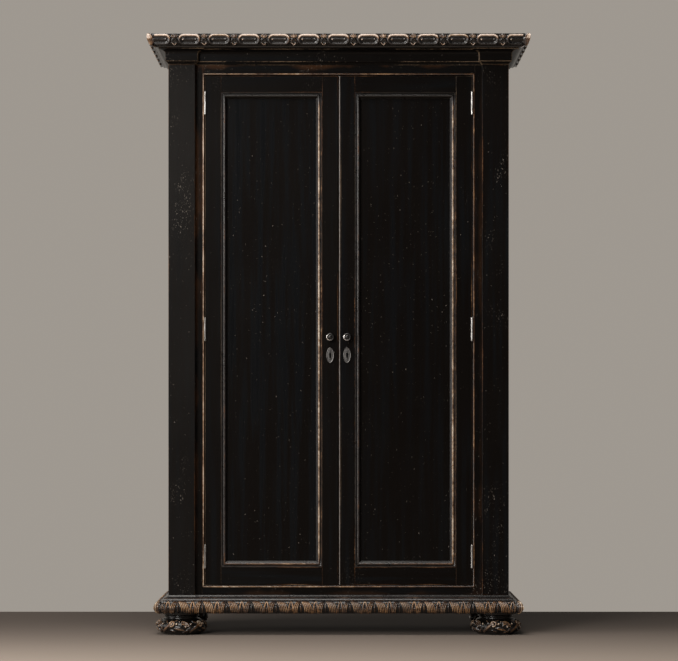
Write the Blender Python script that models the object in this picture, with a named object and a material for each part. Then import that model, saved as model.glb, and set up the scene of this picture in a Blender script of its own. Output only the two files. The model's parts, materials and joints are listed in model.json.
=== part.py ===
"""Armoire: two panelled doors between pilasters, carved crown and base, four bun feet.

Metres, Z up. The front faces -Y, the floor is Z = 0 and the centre of the footprint is the origin.
Depths are given as `out`, the distance in front of the pilaster face; negative is into the cabinet.
"""

import math

import bmesh
import bpy
from mathutils import Matrix, Vector

for old in list(bpy.data.objects):
    bpy.data.objects.remove(old)

# Whole piece
HEIGHT = 2.180
DEPTH = 0.620
CROWN_OUT = 0.0722  # how far the crown stands out past the pilasters
FRONT = CROWN_OUT - DEPTH / 2  # Y of the pilaster face
BACK_OUT = -(DEPTH - CROWN_OUT)  # the back, as a distance in front of the pilaster face
GAP = 0.0003  # between pieces that touch

# Carcase
CASE_HALF = 0.620
CASE_BOTTOM = 0.1434
CASE_TOP = 2.0765
PILASTER_WIDTH = 0.097
PILASTER_THICK = 0.040
PILASTER_INNER = CASE_HALF - PILASTER_WIDTH
SIDE_THICK = 0.022
BACK_THICK = 0.008
BOARD = 0.020
FRAME_OUT = -0.022  # face of the frame round the doors
FRAME_REAR = -0.055
STOP_OUT = -0.0428  # front of the lip that the doors close against
BREAK = 0.020  # how far the cornice and base cap step back between the pilasters
CORNICE_INNER = 0.040  # how far the front cornice and crown reach in over the case
SIDE_INNER = SIDE_THICK - 0.0005  # and the side ones, which stand on the side panels only

# Door opening
OPEN_HALF = 0.490
OPEN_BOTTOM = 0.1762
OPEN_TOP = 2.0405
BEAD = 0.008

# Doors
DOOR_OUT = -0.020
DOOR_THICK = 0.022
DOOR_MEET = 0.0015  # half the gap between the doors
DOOR_HINGE = 0.4872
DOOR_BOTTOM = 0.1789
DOOR_TOP = 2.0373
STILE = 0.0585
RAIL_TOP = 0.0603
RAIL_BOTTOM = 0.0653
GROOVE = 0.008
PANEL_THICK = 0.007
PANEL_OUT = -0.0305
MOULD_WIDTH = 0.0228

# Hinges, three to a door
PIN_X = 0.4868
PIN_OUT = -0.0155
HINGE_Z = (0.2826, 1.1115, 1.9380)
KNUCKLE_R = 0.0042
LEAF_HALF = 0.0405  # half the height of a leaf; the pin's tips stand out past it
TIP_HALF = 0.0440

# Handles and lock
HANDLE_X = 0.031
KNOB_Z = 1.0836
KEY_Z = 1.0177
BOLT_X = 0.020
BOLT_OUT = -0.031

# Feet
FOOT_X = 0.575
FOOT_FRONT = -0.046
FOOT_REAR = BACK_OUT + 0.100
FOOT_TOP = 0.0781


def y_at(out):
    return FRONT - out


def material(name, colour, roughness, metallic=0.0):
    made = bpy.data.materials.new(name)
    made.use_nodes = True
    shader = made.node_tree.nodes["Principled BSDF"]
    shader.inputs["Base Color"].default_value = (*colour, 1.0)
    shader.inputs["Roughness"].default_value = roughness
    shader.inputs["Metallic"].default_value = metallic
    return made


PAINT = material("painted_wood", (0.020, 0.016, 0.014), 0.45)
CARVED = material("carved_wood", (0.045, 0.032, 0.022), 0.50)
INSIDE = material("interior_wood", (0.110, 0.070, 0.042), 0.60)
PEWTER = material("pewter", (0.110, 0.105, 0.100), 0.35, 1.0)
STEEL = material("steel", (0.520, 0.510, 0.490), 0.30, 1.0)


def add(name, bm, mat, at=(0, 0, 0), turn=None, smooth=False):
    """Makes an object of a bmesh, its faces turned outwards."""
    bmesh.ops.recalc_face_normals(bm, faces=bm.faces)
    mesh = bpy.data.meshes.new(name)
    bm.to_mesh(mesh)
    bm.free()
    mesh.materials.append(mat)
    if smooth:
        mesh.shade_smooth()
    obj = bpy.data.objects.new(name, mesh)
    bpy.context.collection.objects.link(obj)
    obj.location = at
    if turn:
        obj.rotation_euler = turn
    return obj


def hull_box(bm, low, high):
    """Adds a box between two corners, given in any order."""
    low, high = Vector(low), Vector(high)
    size = high - low
    placed = Matrix.Translation((low + high) / 2)
    scaled = Matrix.Diagonal((abs(size.x), abs(size.y), abs(size.z), 1.0))
    return bmesh.ops.create_cube(bm, size=1.0, matrix=placed @ scaled)


def board(name, mat, xs, outs, zs, bevel=0.0):
    """A board between two X, two outs and two Z, with its long edges eased."""
    low = Vector((min(xs), y_at(max(outs)), min(zs)))
    high = Vector((max(xs), y_at(min(outs)), max(zs)))
    centre = (low + high) / 2
    bm = bmesh.new()
    hull_box(bm, low - centre, high - centre)
    if bevel:
        bmesh.ops.bevel(
            bm, geom=bm.edges[:], offset=bevel, segments=1, affect="EDGES", profile=0.5
        )
    return add(name, bm, mat, centre)


def strip_along(bm, sections, ring=False):
    """Extrudes an outline through its sections; a ring runs back to the first."""
    first = [bm.verts.new(point) for point in sections[0]]
    edges = [bm.edges.new((first[i - 1], first[i])) for i in range(len(first))]
    loop = first
    following = sections[1:] + (sections[:1] if ring else [])
    for section in following:
        before = {tuple(round(c, 7) for c in vert.co): i for i, vert in enumerate(loop)}
        grown = bmesh.ops.extrude_edge_only(bm, edges=edges)["geom"]
        edges = [item for item in grown if isinstance(item, bmesh.types.BMEdge)]
        new = [item for item in grown if isinstance(item, bmesh.types.BMVert)]
        loop = [None] * len(section)
        for vert in new:
            loop[before[tuple(round(c, 7) for c in vert.co)]] = vert
        for vert, point in zip(loop, section):
            vert.co = point
        edges = [edge for edge in edges if all(v in new for v in edge.verts)]
    if ring:
        bmesh.ops.remove_doubles(bm, verts=bm.verts, dist=1e-6)
    else:
        bm.faces.new(first)
        bm.faces.new(loop)


def swept(name, mat, sections, ring=False):
    bm = bmesh.new()
    strip_along(bm, sections, ring)
    return add(name, bm, mat)


def upright(name, mat, outline, zs, sign=1):
    """A prism on an outline of (x, out), standing from one Z to another."""
    sections = [[(sign * x, y_at(out), z) for x, out in outline] for z in zs]
    return swept(name, mat, sections)


def turned(name, mat, profile, steps, at, turn=None):
    """A solid turned from (radius, height) points about Z."""
    bm = bmesh.new()
    verts = [bm.verts.new((radius, 0, height)) for radius, height in profile]
    edges = [bm.edges.new(pair) for pair in zip(verts, verts[1:])]
    bmesh.ops.spin(
        bm,
        geom=verts + edges,
        cent=(0, 0, 0),
        axis=(0, 0, 1),
        angle=math.tau,
        steps=steps,
        use_merge=True,
    )
    bmesh.ops.remove_doubles(bm, verts=bm.verts, dist=1e-6)
    return add(name, bm, mat, at, turn, smooth=True)


def cutter(name, low, high):
    bm = bmesh.new()
    hull_box(bm, low, high)
    tool = add(name, bm, STEEL)
    hide(tool)
    return tool


def round_cutter(name, at, radius, length, axis, sides=12):
    bm = bmesh.new()
    bmesh.ops.create_cone(
        bm, cap_ends=True, segments=sides, radius1=radius, radius2=radius, depth=length
    )
    turn = {"X": (0, math.pi / 2, 0), "Y": (math.pi / 2, 0, 0), "Z": None}[axis]
    tool = add(name, bm, STEEL, at, turn)
    hide(tool)
    return tool


def hide(tool):
    tool.hide_render = True
    tool.display_type = "WIRE"


def shape(target, operation, *tools):
    for tool in tools:
        mod = target.modifiers.new(f"{operation.lower()} {tool.name}", "BOOLEAN")
        mod.operation = operation
        mod.solver = "EXACT"
        mod.object = tool


def baked(obj):
    """The mesh of an object with its modifiers applied; the object and its tools are removed."""
    tools = [mod.object for mod in obj.modifiers if mod.type == "BOOLEAN"]
    graph = bpy.context.evaluated_depsgraph_get()
    mesh = bpy.data.meshes.new_from_object(obj.evaluated_get(graph))
    for used in [obj, *tools]:
        bpy.data.objects.remove(used)
    return mesh


# Feet: a flattened bun under a hollowed neck
FOOT_PROFILE = (
    (0.000, 0.0000),
    (0.058, 0.0000),
    (0.074, 0.0045),
    (0.085, 0.0135),
    (0.092, 0.0275),
    (0.089, 0.0400),
    (0.077, 0.0520),
    (0.064, 0.0575),
    (0.060, 0.0625),
    (0.062, 0.0690),
    (0.068, 0.0725),
    (0.068, FOOT_TOP),
    (0.000, FOOT_TOP),
)
REAR_SLIMNESS = 0.82  # the rear feet are turned from thinner stock
for side, sign in (("left", -1), ("right", 1)):
    for row, out, share in (("front", FOOT_FRONT, 1.0), ("rear", FOOT_REAR, REAR_SLIMNESS)):
        turned(
            f"foot_{row}_{side}",
            CARVED,
            [(radius * share, height) for radius, height in FOOT_PROFILE],
            20,
            (sign * FOOT_X, y_at(out), 0),
        )

# Base: (offset past the carcase, height, 1 where it steps back with the cap)
torus = [
    (0.0275 + 0.022 * math.cos(a), 0.1004 + 0.022 * math.sin(a), 0)
    for a in [math.radians(d) for d in (80, 55, 30, 0, -30, -60, -90)]
]
BASE_PROFILE = [
    (-0.070, 0.0784, 0),
    (-0.070, 0.1431, 1),
    (0.0000, 0.1431, 1),
    (0.0040, 0.1395, 1),
    (0.0100, 0.1350, 1),
    (0.0140, 0.1332, 1),
    (0.0155, 0.1320, 1),
    (0.0215, 0.1262, 1),
    (0.0240, 0.1236, 0),
    *torus,
]

# Cornice: frieze, cove and fillet that step forward over the pilasters
CORNICE_PROFILE = [
    (-CORNICE_INNER, 2.0768, 1),
    (0.0000, 2.0768, 1),
    (0.0040, 2.0822, 1),
    (0.0108, 2.0876, 1),
    (0.0112, 2.1154, 1),
    (0.0135, 2.1215, 1),
    (0.0200, 2.1262, 1),
    (0.0290, 2.1287, 1),
    (0.0345, 2.1292, 1),
    (0.0345, 2.1328, 1),
    (-CORNICE_INNER, 2.1328, 1),
]

# Crown band: leans out from the fillet and rounds over at the top
BAND_PROFILE = [
    (-CORNICE_INNER, 2.1331, 0),
    (0.0400, 2.1331, 0),
    (0.0617, 2.1395, 0),
    (0.0680, 2.1500, 0),
    (0.0722, 2.1620, 0),
    (0.0722, 2.1735, 0),
    (0.0680, 2.1800, 0),
    (-CORNICE_INNER, HEIGHT, 0),
]


def front_sections(profile, stepped):
    """The outline at the two mitres and, if stepped, at the corners between."""

    def at_mitre(sign):
        return [(sign * (CASE_HALF + o), y_at(o), z) for o, z, _ in profile]

    if not stepped:
        return [at_mitre(-1), at_mitre(1)]
    inner = []
    for step in (0, 1):
        inner.append([])
        for o, z, steps in profile:
            back = BREAK * step
            x = PILASTER_INNER - o - (0 if steps and o >= 0 else back)
            out = o - (back if steps and o >= 0 else 0)
            inner[-1].append((x, out, z))
    left = [[(-x, y_at(out), z) for x, out, z in loop] for loop in inner]
    right = [[(x, y_at(out), z) for x, out, z in loop] for loop in inner[::-1]]
    return [at_mitre(-1), *left, *right, at_mitre(1)]


def mouldings(name, mat, profile, stepped):
    swept(f"{name}_front", mat, front_sections(profile, stepped))
    return_profile = [(-SIDE_INNER if o == -CORNICE_INNER else o, z) for o, z, _ in profile]
    for side, sign in (("left", -1), ("right", 1)):
        mitred = [(sign * (CASE_HALF + o), y_at(o) + GAP, z) for o, z in return_profile]
        rear = [(sign * (CASE_HALF + o), y_at(BACK_OUT), z) for o, z in return_profile]
        swept(f"{name}_{side}", mat, [mitred, rear])


mouldings("base_moulding", CARVED, BASE_PROFILE, True)
mouldings("cornice", PAINT, CORNICE_PROFILE, True)
mouldings("crown_band", CARVED, BAND_PROFILE, False)

# Carcase
for side, sign in (("left", -1), ("right", 1)):
    board(
        f"pilaster_{side}",
        PAINT,
        (sign * PILASTER_INNER, sign * CASE_HALF),
        (0, -PILASTER_THICK),
        (CASE_BOTTOM, CASE_TOP),
        bevel=0.0015,
    )
    panel = board(
        f"side_panel_{side}",
        PAINT,
        (sign * (CASE_HALF - SIDE_THICK), sign * CASE_HALF),
        (-PILASTER_THICK - GAP, BACK_OUT),
        (CASE_BOTTOM, CASE_TOP),
    )
    bm = bmesh.new()
    bm.from_mesh(panel.data)
    outer = [face for face in bm.faces if face.normal.x * sign > 0.9]
    bmesh.ops.inset_region(bm, faces=outer, thickness=0.075)
    bmesh.ops.inset_region(bm, faces=outer, thickness=0.020, depth=-0.009)
    bm.to_mesh(panel.data)
    bm.free()

INNER_HALF = CASE_HALF - SIDE_THICK - GAP
BACK_FACE = BACK_OUT + BACK_THICK
FLOOR_Z = OPEN_BOTTOM + 0.0108
board("back_panel", INSIDE, (-INNER_HALF, INNER_HALF), (BACK_FACE, BACK_OUT), (0.160, CASE_TOP))
inner = (FRAME_REAR - GAP, BACK_FACE + GAP)
board("bottom_board", INSIDE, (-INNER_HALF, INNER_HALF), inner, (FLOOR_Z - BOARD, FLOOR_Z))
board("top_board", INSIDE, (-INNER_HALF, INNER_HALF), inner, (CASE_TOP - BOARD, CASE_TOP))

# Shelf on cleats that also hold the hanging rod
SHELF_Z = 1.700
ROD_Z = 1.640
CLEAT = 0.090
ROD_OUT = -0.300
shelf_outs = (-0.120, BACK_FACE + GAP)
board(
    "hat_shelf",
    INSIDE,
    (-INNER_HALF + GAP, INNER_HALF - GAP),
    shelf_outs,
    (SHELF_Z, SHELF_Z + 0.018),
    bevel=0.001,
)
for side, sign in (("left", -1), ("right", 1)):
    cleat = board(
        f"cleat_{side}",
        INSIDE,
        (sign * (INNER_HALF - 0.020), sign * INNER_HALF),
        shelf_outs,
        (SHELF_Z - CLEAT, SHELF_Z - GAP),
    )
    mouth = (sign * (INNER_HALF - 0.020), y_at(ROD_OUT), ROD_Z)
    shape(cleat, "DIFFERENCE", round_cutter(f"rod_hole_{side}", mouth, 0.0166, 0.022, "X", 16))
turned(
    "hanging_rod",
    INSIDE,
    ((0, -0.5875), (0.0155, -0.5875), (0.0155, 0.5875), (0, 0.5875)),
    16,
    (0, y_at(ROD_OUT), ROD_Z),
    (0, math.pi / 2, 0),
)

# Frame round the doors: a bead on the inside edge, mitred at the corners
BEAD_PROFILE = (  # (distance from the opening, out)
    (0.0002, -0.0225),
    (0.0006, -0.0205),
    (0.0022, -0.0188),
    (0.0040, -0.0183),
    (0.0058, -0.0188),
    (0.0074, -0.0205),
    (0.0080, FRAME_OUT - 0.001),
)


def mitre(bm, corner, normal):
    """Cuts a frame member at a corner of the opening and caps the cut."""
    geom = bm.verts[:] + bm.edges[:] + bm.faces[:]
    bmesh.ops.bisect_plane(bm, geom=geom, plane_co=corner, plane_no=normal, clear_outer=True)
    rims = [edge for edge in bm.edges if edge.is_boundary]
    bmesh.ops.holes_fill(bm, edges=rims)


for side, sign in (("left", -1), ("right", 1)):
    edge_x = OPEN_HALF + BEAD
    stile = upright(
        f"frame_stile_{side}",
        PAINT,
        (
            (edge_x, FRAME_OUT),
            (PILASTER_INNER - GAP, FRAME_OUT),
            (PILASTER_INNER - GAP, FRAME_REAR),
            (edge_x, FRAME_REAR),
        ),
        (CASE_BOTTOM, CASE_TOP),
        sign,
    )
    outline = [(OPEN_HALF + d, out) for d, out in BEAD_PROFILE]
    outline += [(edge_x + 0.004, FRAME_OUT - 0.001), (edge_x + 0.004, FRAME_REAR)]
    outline += [(OPEN_HALF, FRAME_REAR), (OPEN_HALF, -0.0225)]
    bm = bmesh.new()
    strip_along(
        bm,
        [
            [(sign * x, y_at(out), z) for x, out in outline]
            for z in (OPEN_BOTTOM - 0.012, OPEN_TOP + 0.012)
        ],
    )
    mitre(bm, (sign * OPEN_HALF, 0, OPEN_TOP), (-sign, 0, 1))
    mitre(bm, (sign * OPEN_HALF, 0, OPEN_BOTTOM), (-sign, 0, -1))
    strip = add(f"bead_strip_{side}", bm, PAINT)
    hide(strip)
    shape(stile, "UNION", strip)


def frame_rail(name, edge_z, far_z, stop_z, up):
    """A rail from the opening's edge to far_z, with a bead and a lip behind the doors."""
    outline = [(far_z, FRAME_OUT), (edge_z + up * BEAD, FRAME_OUT)]
    outline += [(edge_z + up * d, out) for d, out in BEAD_PROFILE[::-1]]
    outline += [(edge_z, -0.0225), (edge_z, STOP_OUT), (stop_z, STOP_OUT)]
    outline += [(stop_z, FRAME_REAR), (far_z, FRAME_REAR)]
    half = OPEN_HALF + BEAD - GAP
    bm = bmesh.new()
    strip_along(bm, [[(x, y_at(out), z) for z, out in outline] for x in (-half, half)])
    for sign in (-1, 1):
        mitre(bm, (sign * (OPEN_HALF - 0.0004), 0, edge_z), (sign, 0, -up))
    return add(name, bm, PAINT)


top_rail = frame_rail("frame_rail_top", OPEN_TOP, CASE_TOP, OPEN_TOP - 0.0105, 1)
bottom_rail = frame_rail("frame_rail_bottom", OPEN_BOTTOM, CASE_BOTTOM, FLOOR_Z, -1)
for rail, edge_z, up in ((top_rail, OPEN_TOP, 1), (bottom_rail, OPEN_BOTTOM, -1)):
    socket = cutter(
        f"{rail.name}_socket",
        (-BOLT_X - 0.006, y_at(BOLT_OUT) - 0.006, edge_z - up * 0.004),
        (-BOLT_X + 0.006, y_at(BOLT_OUT) + 0.006, edge_z + up * 0.020),
    )
    shape(rail, "DIFFERENCE", socket)

# Doors
DOOR_REAR = DOOR_OUT - DOOR_THICK
OPENING_X = (DOOR_MEET + STILE, DOOR_HINGE - STILE)
OPENING_Z = (DOOR_BOTTOM + RAIL_BOTTOM, DOOR_TOP - RAIL_TOP)
GROOVE_OUTS = (PANEL_OUT + GAP, PANEL_OUT - PANEL_THICK - GAP)
TENON = GROOVE - 0.0006
MOULD_PROFILE = (  # (distance in from the frame, height over the panel)
    (0.0003, 0.0003),
    (0.0003, 0.0108),
    (0.0042, 0.0108),
    (0.0050, 0.0078),
    (0.0072, 0.0078),
    (0.0086, 0.0118),
    (0.0118, 0.0132),
    (0.0155, 0.0118),
    (0.0190, 0.0072),
    (0.0222, 0.0030),
    (MOULD_WIDTH, 0.0003),
)
KNOB_PROFILE = (
    (0.0000, 0.0000),
    (0.0105, 0.0000),
    (0.0105, 0.0024),
    (0.0065, 0.0050),
    (0.0060, 0.0110),
    (0.0130, 0.0150),
    (0.0150, 0.0185),
    (0.0148, 0.0215),
    (0.0128, 0.0230),
    (0.0108, 0.0212),
    (0.0085, 0.0212),
    (0.0060, 0.0240),
    (0.0000, 0.0258),
)


def stile_outline(edge, inner, lead):
    """A door stile's section: its panel groove on the inside, and the given points on its edge."""
    to_edge = 1 if edge > inner else -1
    bottom = inner + to_edge * GROOVE
    front, rear = GROOVE_OUTS
    return [
        *lead,
        (inner, DOOR_OUT),
        (inner, front),
        (bottom, front),
        (bottom, rear),
        (inner, rear),
        (inner, DOOR_REAR),
        (edge, DOOR_REAR),
    ]


MEETING_EDGES = {
    "left": [(DOOR_MEET, -0.0214), (DOOR_MEET + 0.0014, DOOR_OUT)],
    "right": [
        (DOOR_MEET, -0.0236),
        (DOOR_MEET + 0.0004, -0.0214),
        (DOOR_MEET + 0.0016, -0.0203),
        (DOOR_MEET + 0.0028, DOOR_OUT),
        (DOOR_MEET + 0.0040, -0.0203),
        (DOOR_MEET + 0.0052, -0.0214),
        (DOOR_MEET + 0.0054, -0.0230),
        (DOOR_MEET + 0.0066, -0.0230),
        (DOOR_MEET + 0.0067, DOOR_OUT),
    ],
}


def keyhole(name, x, length):
    """Two tools for a keyhole cut back from the door's face: a round and the slot below it."""
    start = y_at(DOOR_OUT) - 0.006
    middle = (x, start + length / 2, KEY_Z + 0.005)
    hole = round_cutter(f"{name}_round", middle, 0.0036, length, "Y")
    slot = cutter(
        f"{name}_slot",
        (x - 0.0022, start, KEY_Z - 0.009),
        (x + 0.0022, start + length, KEY_Z + 0.005),
    )
    return hole, slot


def door(side, sign):
    parts = []
    meeting = upright(
        f"{side}_door_meeting_stile",
        PAINT,
        stile_outline(DOOR_MEET, OPENING_X[0], MEETING_EDGES[side]),
        (DOOR_BOTTOM, DOOR_TOP),
        sign,
    )
    hinge_edge = [(DOOR_HINGE, DOOR_OUT)]
    hanging = upright(
        f"{side}_door_hinge_stile",
        PAINT,
        stile_outline(DOOR_HINGE, OPENING_X[1], hinge_edge),
        (DOOR_BOTTOM, DOOR_TOP),
        sign,
    )
    parts += [meeting, hanging]

    front, rear = GROOVE_OUTS
    for name, far, edge in (("top", DOOR_TOP, OPENING_Z[1]), ("bottom", DOOR_BOTTOM, OPENING_Z[0])):
        to_far = 1 if far > edge else -1
        floor = edge + to_far * GROOVE
        outline = [(far, DOOR_OUT), (edge, DOOR_OUT), (edge, front), (floor, front)]
        outline += [(floor, rear), (edge, rear), (edge, DOOR_REAR), (far, DOOR_REAR)]
        ends = [sign * (OPENING_X[0] + GAP), sign * (OPENING_X[1] - GAP)]
        sections = [[(x, y_at(out), z) for z, out in outline] for x in ends]
        rail = swept(f"{side}_door_rail_{name}", PAINT, sections)
        tongue = cutter(
            f"{side}_tongue_{name}",
            (sign * (OPENING_X[0] - TENON), y_at(PANEL_OUT), floor + to_far * GAP),
            (sign * (OPENING_X[1] + TENON), y_at(PANEL_OUT - PANEL_THICK), far - to_far * GAP),
        )
        shape(rail, "UNION", tongue)
        parts.append(rail)

    reach = GROOVE - GAP
    parts.append(
        board(
            f"{side}_door_panel",
            PAINT,
            (sign * (OPENING_X[0] - reach), sign * (OPENING_X[1] + reach)),
            (PANEL_OUT, PANEL_OUT - PANEL_THICK),
            (OPENING_Z[0] - reach, OPENING_Z[1] + reach),
        )
    )

    ring = []
    for across, up in ((0, 0), (1, 0), (1, 1), (0, 1)):
        corner = []
        for d, height in MOULD_PROFILE:
            x = OPENING_X[across] + (d if across == 0 else -d)
            z = OPENING_Z[up] + (d if up == 0 else -d)
            corner.append((sign * x, y_at(PANEL_OUT + height), z))
        ring.append(corner)
    parts.append(swept(f"{side}_door_moulding", PAINT, ring, ring=True))

    face = y_at(DOOR_OUT) - GAP
    parts.append(
        turned(
            f"{side}_knob",
            PEWTER,
            KNOB_PROFILE,
            16,
            (sign * HANDLE_X, face, KNOB_Z),
            (math.pi / 2, 0, 0),
        )
    )
    bm = bmesh.new()
    bmesh.ops.create_cone(
        bm, cap_ends=True, segments=24, radius1=0.0140, radius2=0.0122, depth=0.0024
    )
    bmesh.ops.scale(bm, vec=(1, 2.05, 1), verts=bm.verts)
    plate = add(
        f"{side}_escutcheon",
        bm,
        PEWTER,
        (sign * HANDLE_X, face - 0.0012, KEY_Z),
        (math.pi / 2, 0, 0),
    )
    holes = keyhole(f"{side}_keyhole", sign * HANDLE_X, 0.0145 if side == "left" else 0.0200)
    shape(plate, "DIFFERENCE", *holes)
    shape(meeting, "DIFFERENCE", *holes)
    parts.append(plate)
    return meeting, parts, holes


left_stile, left_parts, _ = door("left", -1)
right_stile, right_parts, right_holes = door("right", 1)

# Lock: the case is let into the back of the right door, and its bolt enters the left one
case_z = (KEY_Z - 0.0322, KEY_Z + 0.0322)
pocket = cutter(
    "lock_pocket",
    (DOOR_MEET - 0.002, y_at(-0.0297), case_z[0] - GAP),
    (DOOR_MEET + 0.0440, y_at(DOOR_REAR) + 0.002, case_z[1] + GAP),
)
shape(right_stile, "DIFFERENCE", pocket)
case = board(
    "lock_case",
    STEEL,
    (DOOR_MEET + GAP, DOOR_MEET + 0.0437),
    (-0.0300, DOOR_REAR + GAP),
    case_z,
)
channel = cutter(
    "lock_channel",
    (DOOR_MEET - 0.002, y_at(-0.0334), KEY_Z - 0.0090),
    (DOOR_MEET + 0.0400, y_at(-0.0386), KEY_Z + 0.0090),
)
key_way = cutter(
    "lock_key_way",
    (HANDLE_X - 0.0030, y_at(-0.0290), KEY_Z - 0.0085),
    (HANDLE_X + 0.0030, y_at(-0.0350), KEY_Z + 0.0085),
)
shape(case, "DIFFERENCE", channel, key_way)
lock_bolt = board(
    "lock_bolt",
    STEEL,
    (DOOR_MEET + 0.0006, DOOR_MEET + 0.0306),
    (-0.0339, -0.0381),
    (KEY_Z - 0.0084, KEY_Z + 0.0084),
    bevel=0.0005,
)
mortise = cutter(
    "lock_mortise",
    (-DOOR_MEET - 0.0110, y_at(-0.0330), KEY_Z - 0.0094),
    (-DOOR_MEET + 0.0010, y_at(-0.0390), KEY_Z + 0.0094),
)
shape(left_stile, "DIFFERENCE", mortise)

# Bolts that hold the left door: each slides in a bore down the meeting stile
for name, tip, up in (("top", DOOR_TOP, 1), ("bottom", DOOR_BOTTOM, -1)):
    bore = round_cutter(
        f"{name}_bolt_bore",
        (-BOLT_X, y_at(BOLT_OUT), tip - up * 0.0600),
        0.0049,
        0.1300,
        "Z",
    )
    slot = cutter(
        f"{name}_bolt_slot",
        (-BOLT_X - 0.0022, y_at(BOLT_OUT), tip - up * 0.1020),
        (-BOLT_X + 0.0022, y_at(DOOR_REAR) + 0.002, tip - up * 0.0520),
    )
    shape(left_stile, "DIFFERENCE", bore, slot)
    bolt = turned(
        f"{name}_bolt",
        STEEL,
        ((0, -0.1190), (0.0042, -0.1190), (0.0042, -0.0020), (0.0030, -0.0008), (0, -0.0008)),
        12,
        (-BOLT_X, y_at(BOLT_OUT), tip),
        None if up > 0 else (math.pi, 0, 0),
    )
    stud = cutter(
        f"{name}_bolt_stud",
        (-BOLT_X - 0.0018, y_at(BOLT_OUT), tip - up * 0.0970),
        (-BOLT_X + 0.0018, y_at(-0.0490), tip - up * 0.0870),
    )
    shape(bolt, "UNION", stud)
    left_parts.append(bolt)
right_parts += [case, lock_bolt]

# Hinges: the pin is fast in the frame leaf, and the door leaf turns on it
LEAF_OUTS = (-0.0201, -0.0400)
FRAME_TURNED = (
    (0.0000, -TIP_HALF),
    (0.0026, 0.0005 - TIP_HALF),
    (0.0040, -LEAF_HALF - 0.0014),
    (KNUCKLE_R, -LEAF_HALF),
    (KNUCKLE_R, -0.0250),
    (0.0020, -0.0250),
    (0.0020, -0.0087),
    (KNUCKLE_R, -0.0087),
    (KNUCKLE_R, 0.0087),
    (0.0020, 0.0087),
    (0.0020, 0.0250),
    (KNUCKLE_R, 0.0250),
    (KNUCKLE_R, LEAF_HALF),
    (0.0040, LEAF_HALF + 0.0014),
    (0.0026, TIP_HALF - 0.0005),
    (0.0000, TIP_HALF),
)
FRAME_KNUCKLES = ((-LEAF_HALF, -0.0250), (-0.0087, 0.0087), (0.0250, LEAF_HALF))
DOOR_KNUCKLES = ((-0.0247, -0.0090), (0.0090, 0.0247))


def leaf_tools(name, xs, knuckles):
    """The flat of a leaf, and the tabs that carry it round to its knuckles."""
    bm = bmesh.new()
    hull_box(
        bm,
        (xs[0], PIN_OUT - LEAF_OUTS[0], -LEAF_HALF),
        (xs[1], PIN_OUT - LEAF_OUTS[1], LEAF_HALF),
    )
    tools = [add(f"{name}_flat", bm, STEEL)]
    for i, (low, high) in enumerate(knuckles):
        bm = bmesh.new()
        hull_box(bm, (xs[0], 0.0030, low + 0.0002), (xs[1], PIN_OUT + 0.0210, high - 0.0002))
        tools.append(add(f"{name}_tab_{i}", bm, STEEL))
    return tools


frame_leaf = turned("frame_leaf", STEEL, FRAME_TURNED, 12, (0, 0, 0))
shape(frame_leaf, "UNION", *leaf_tools("frame_leaf", (0.0020, 0.0029), FRAME_KNUCKLES))
frame_leaf = baked(frame_leaf)
tubes = []
for i, (low, high) in enumerate(DOOR_KNUCKLES):
    bm = bmesh.new()
    strip_along(
        bm,
        [
            [
                Matrix.Rotation(math.tau * step / 12, 3, "Z") @ Vector((r, 0, z))
                for r, z in (
                    (0.0026, low),
                    (KNUCKLE_R, low),
                    (KNUCKLE_R, high),
                    (0.0026, high),
                )
            ]
            for step in range(12)
        ],
        ring=True,
    )
    tubes.append(add(f"door_leaf_tube_{i}", bm, STEEL))
door_leaf = tubes[0]
shape(door_leaf, "UNION", *leaf_tools("door_leaf", (0.0007, 0.0017), DOOR_KNUCKLES), tubes[1])
door_leaf = baked(door_leaf)

for side, sign, parts in (("left", -1, left_parts), ("right", 1, right_parts)):
    for place, z in zip(("bottom", "middle", "top"), HINGE_Z):
        for leaf, mesh in (("frame", frame_leaf), ("door", door_leaf)):
            hinge = bpy.data.objects.new(f"{side}_hinge_{place}_{leaf}_leaf", mesh)
            bpy.context.collection.objects.link(hinge)
            hinge.location = (sign * PIN_X, y_at(PIN_OUT), z)
            if sign < 0:
                hinge.rotation_euler = (0, math.pi, 0)
            if leaf == "door":
                parts.append(hinge)

# Each door swings with everything on it about its hinge pins
bpy.context.view_layer.update()
for side, sign, parts in (("left", -1, left_parts), ("right", 1, right_parts)):
    pivot = bpy.data.objects.new(f"{side}_door_pivot", None)
    bpy.context.collection.objects.link(pivot)
    pivot.location = (sign * PIN_X, y_at(PIN_OUT), 0)
    pivot.empty_display_size = 0.1
    bpy.context.view_layer.update()
    for part in parts:
        part.parent = pivot
        part.matrix_parent_inverse = pivot.matrix_world.inverted()
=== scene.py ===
# %% [markdown]
# # A black-painted armoire with a carved crown
#
# This is a tall wardrobe: two panelled doors between plain pilasters, a carved crown, a carved base
# moulding and four bun feet. The paint is nearly black and is rubbed through to the wood wherever a
# hand or a duster would reach first. The joinery is already cut and fixed in place, so this lesson
# is about what a finisher adds to it: eased edges, carving, turned hardware and the finishes.

import json
import math

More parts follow.
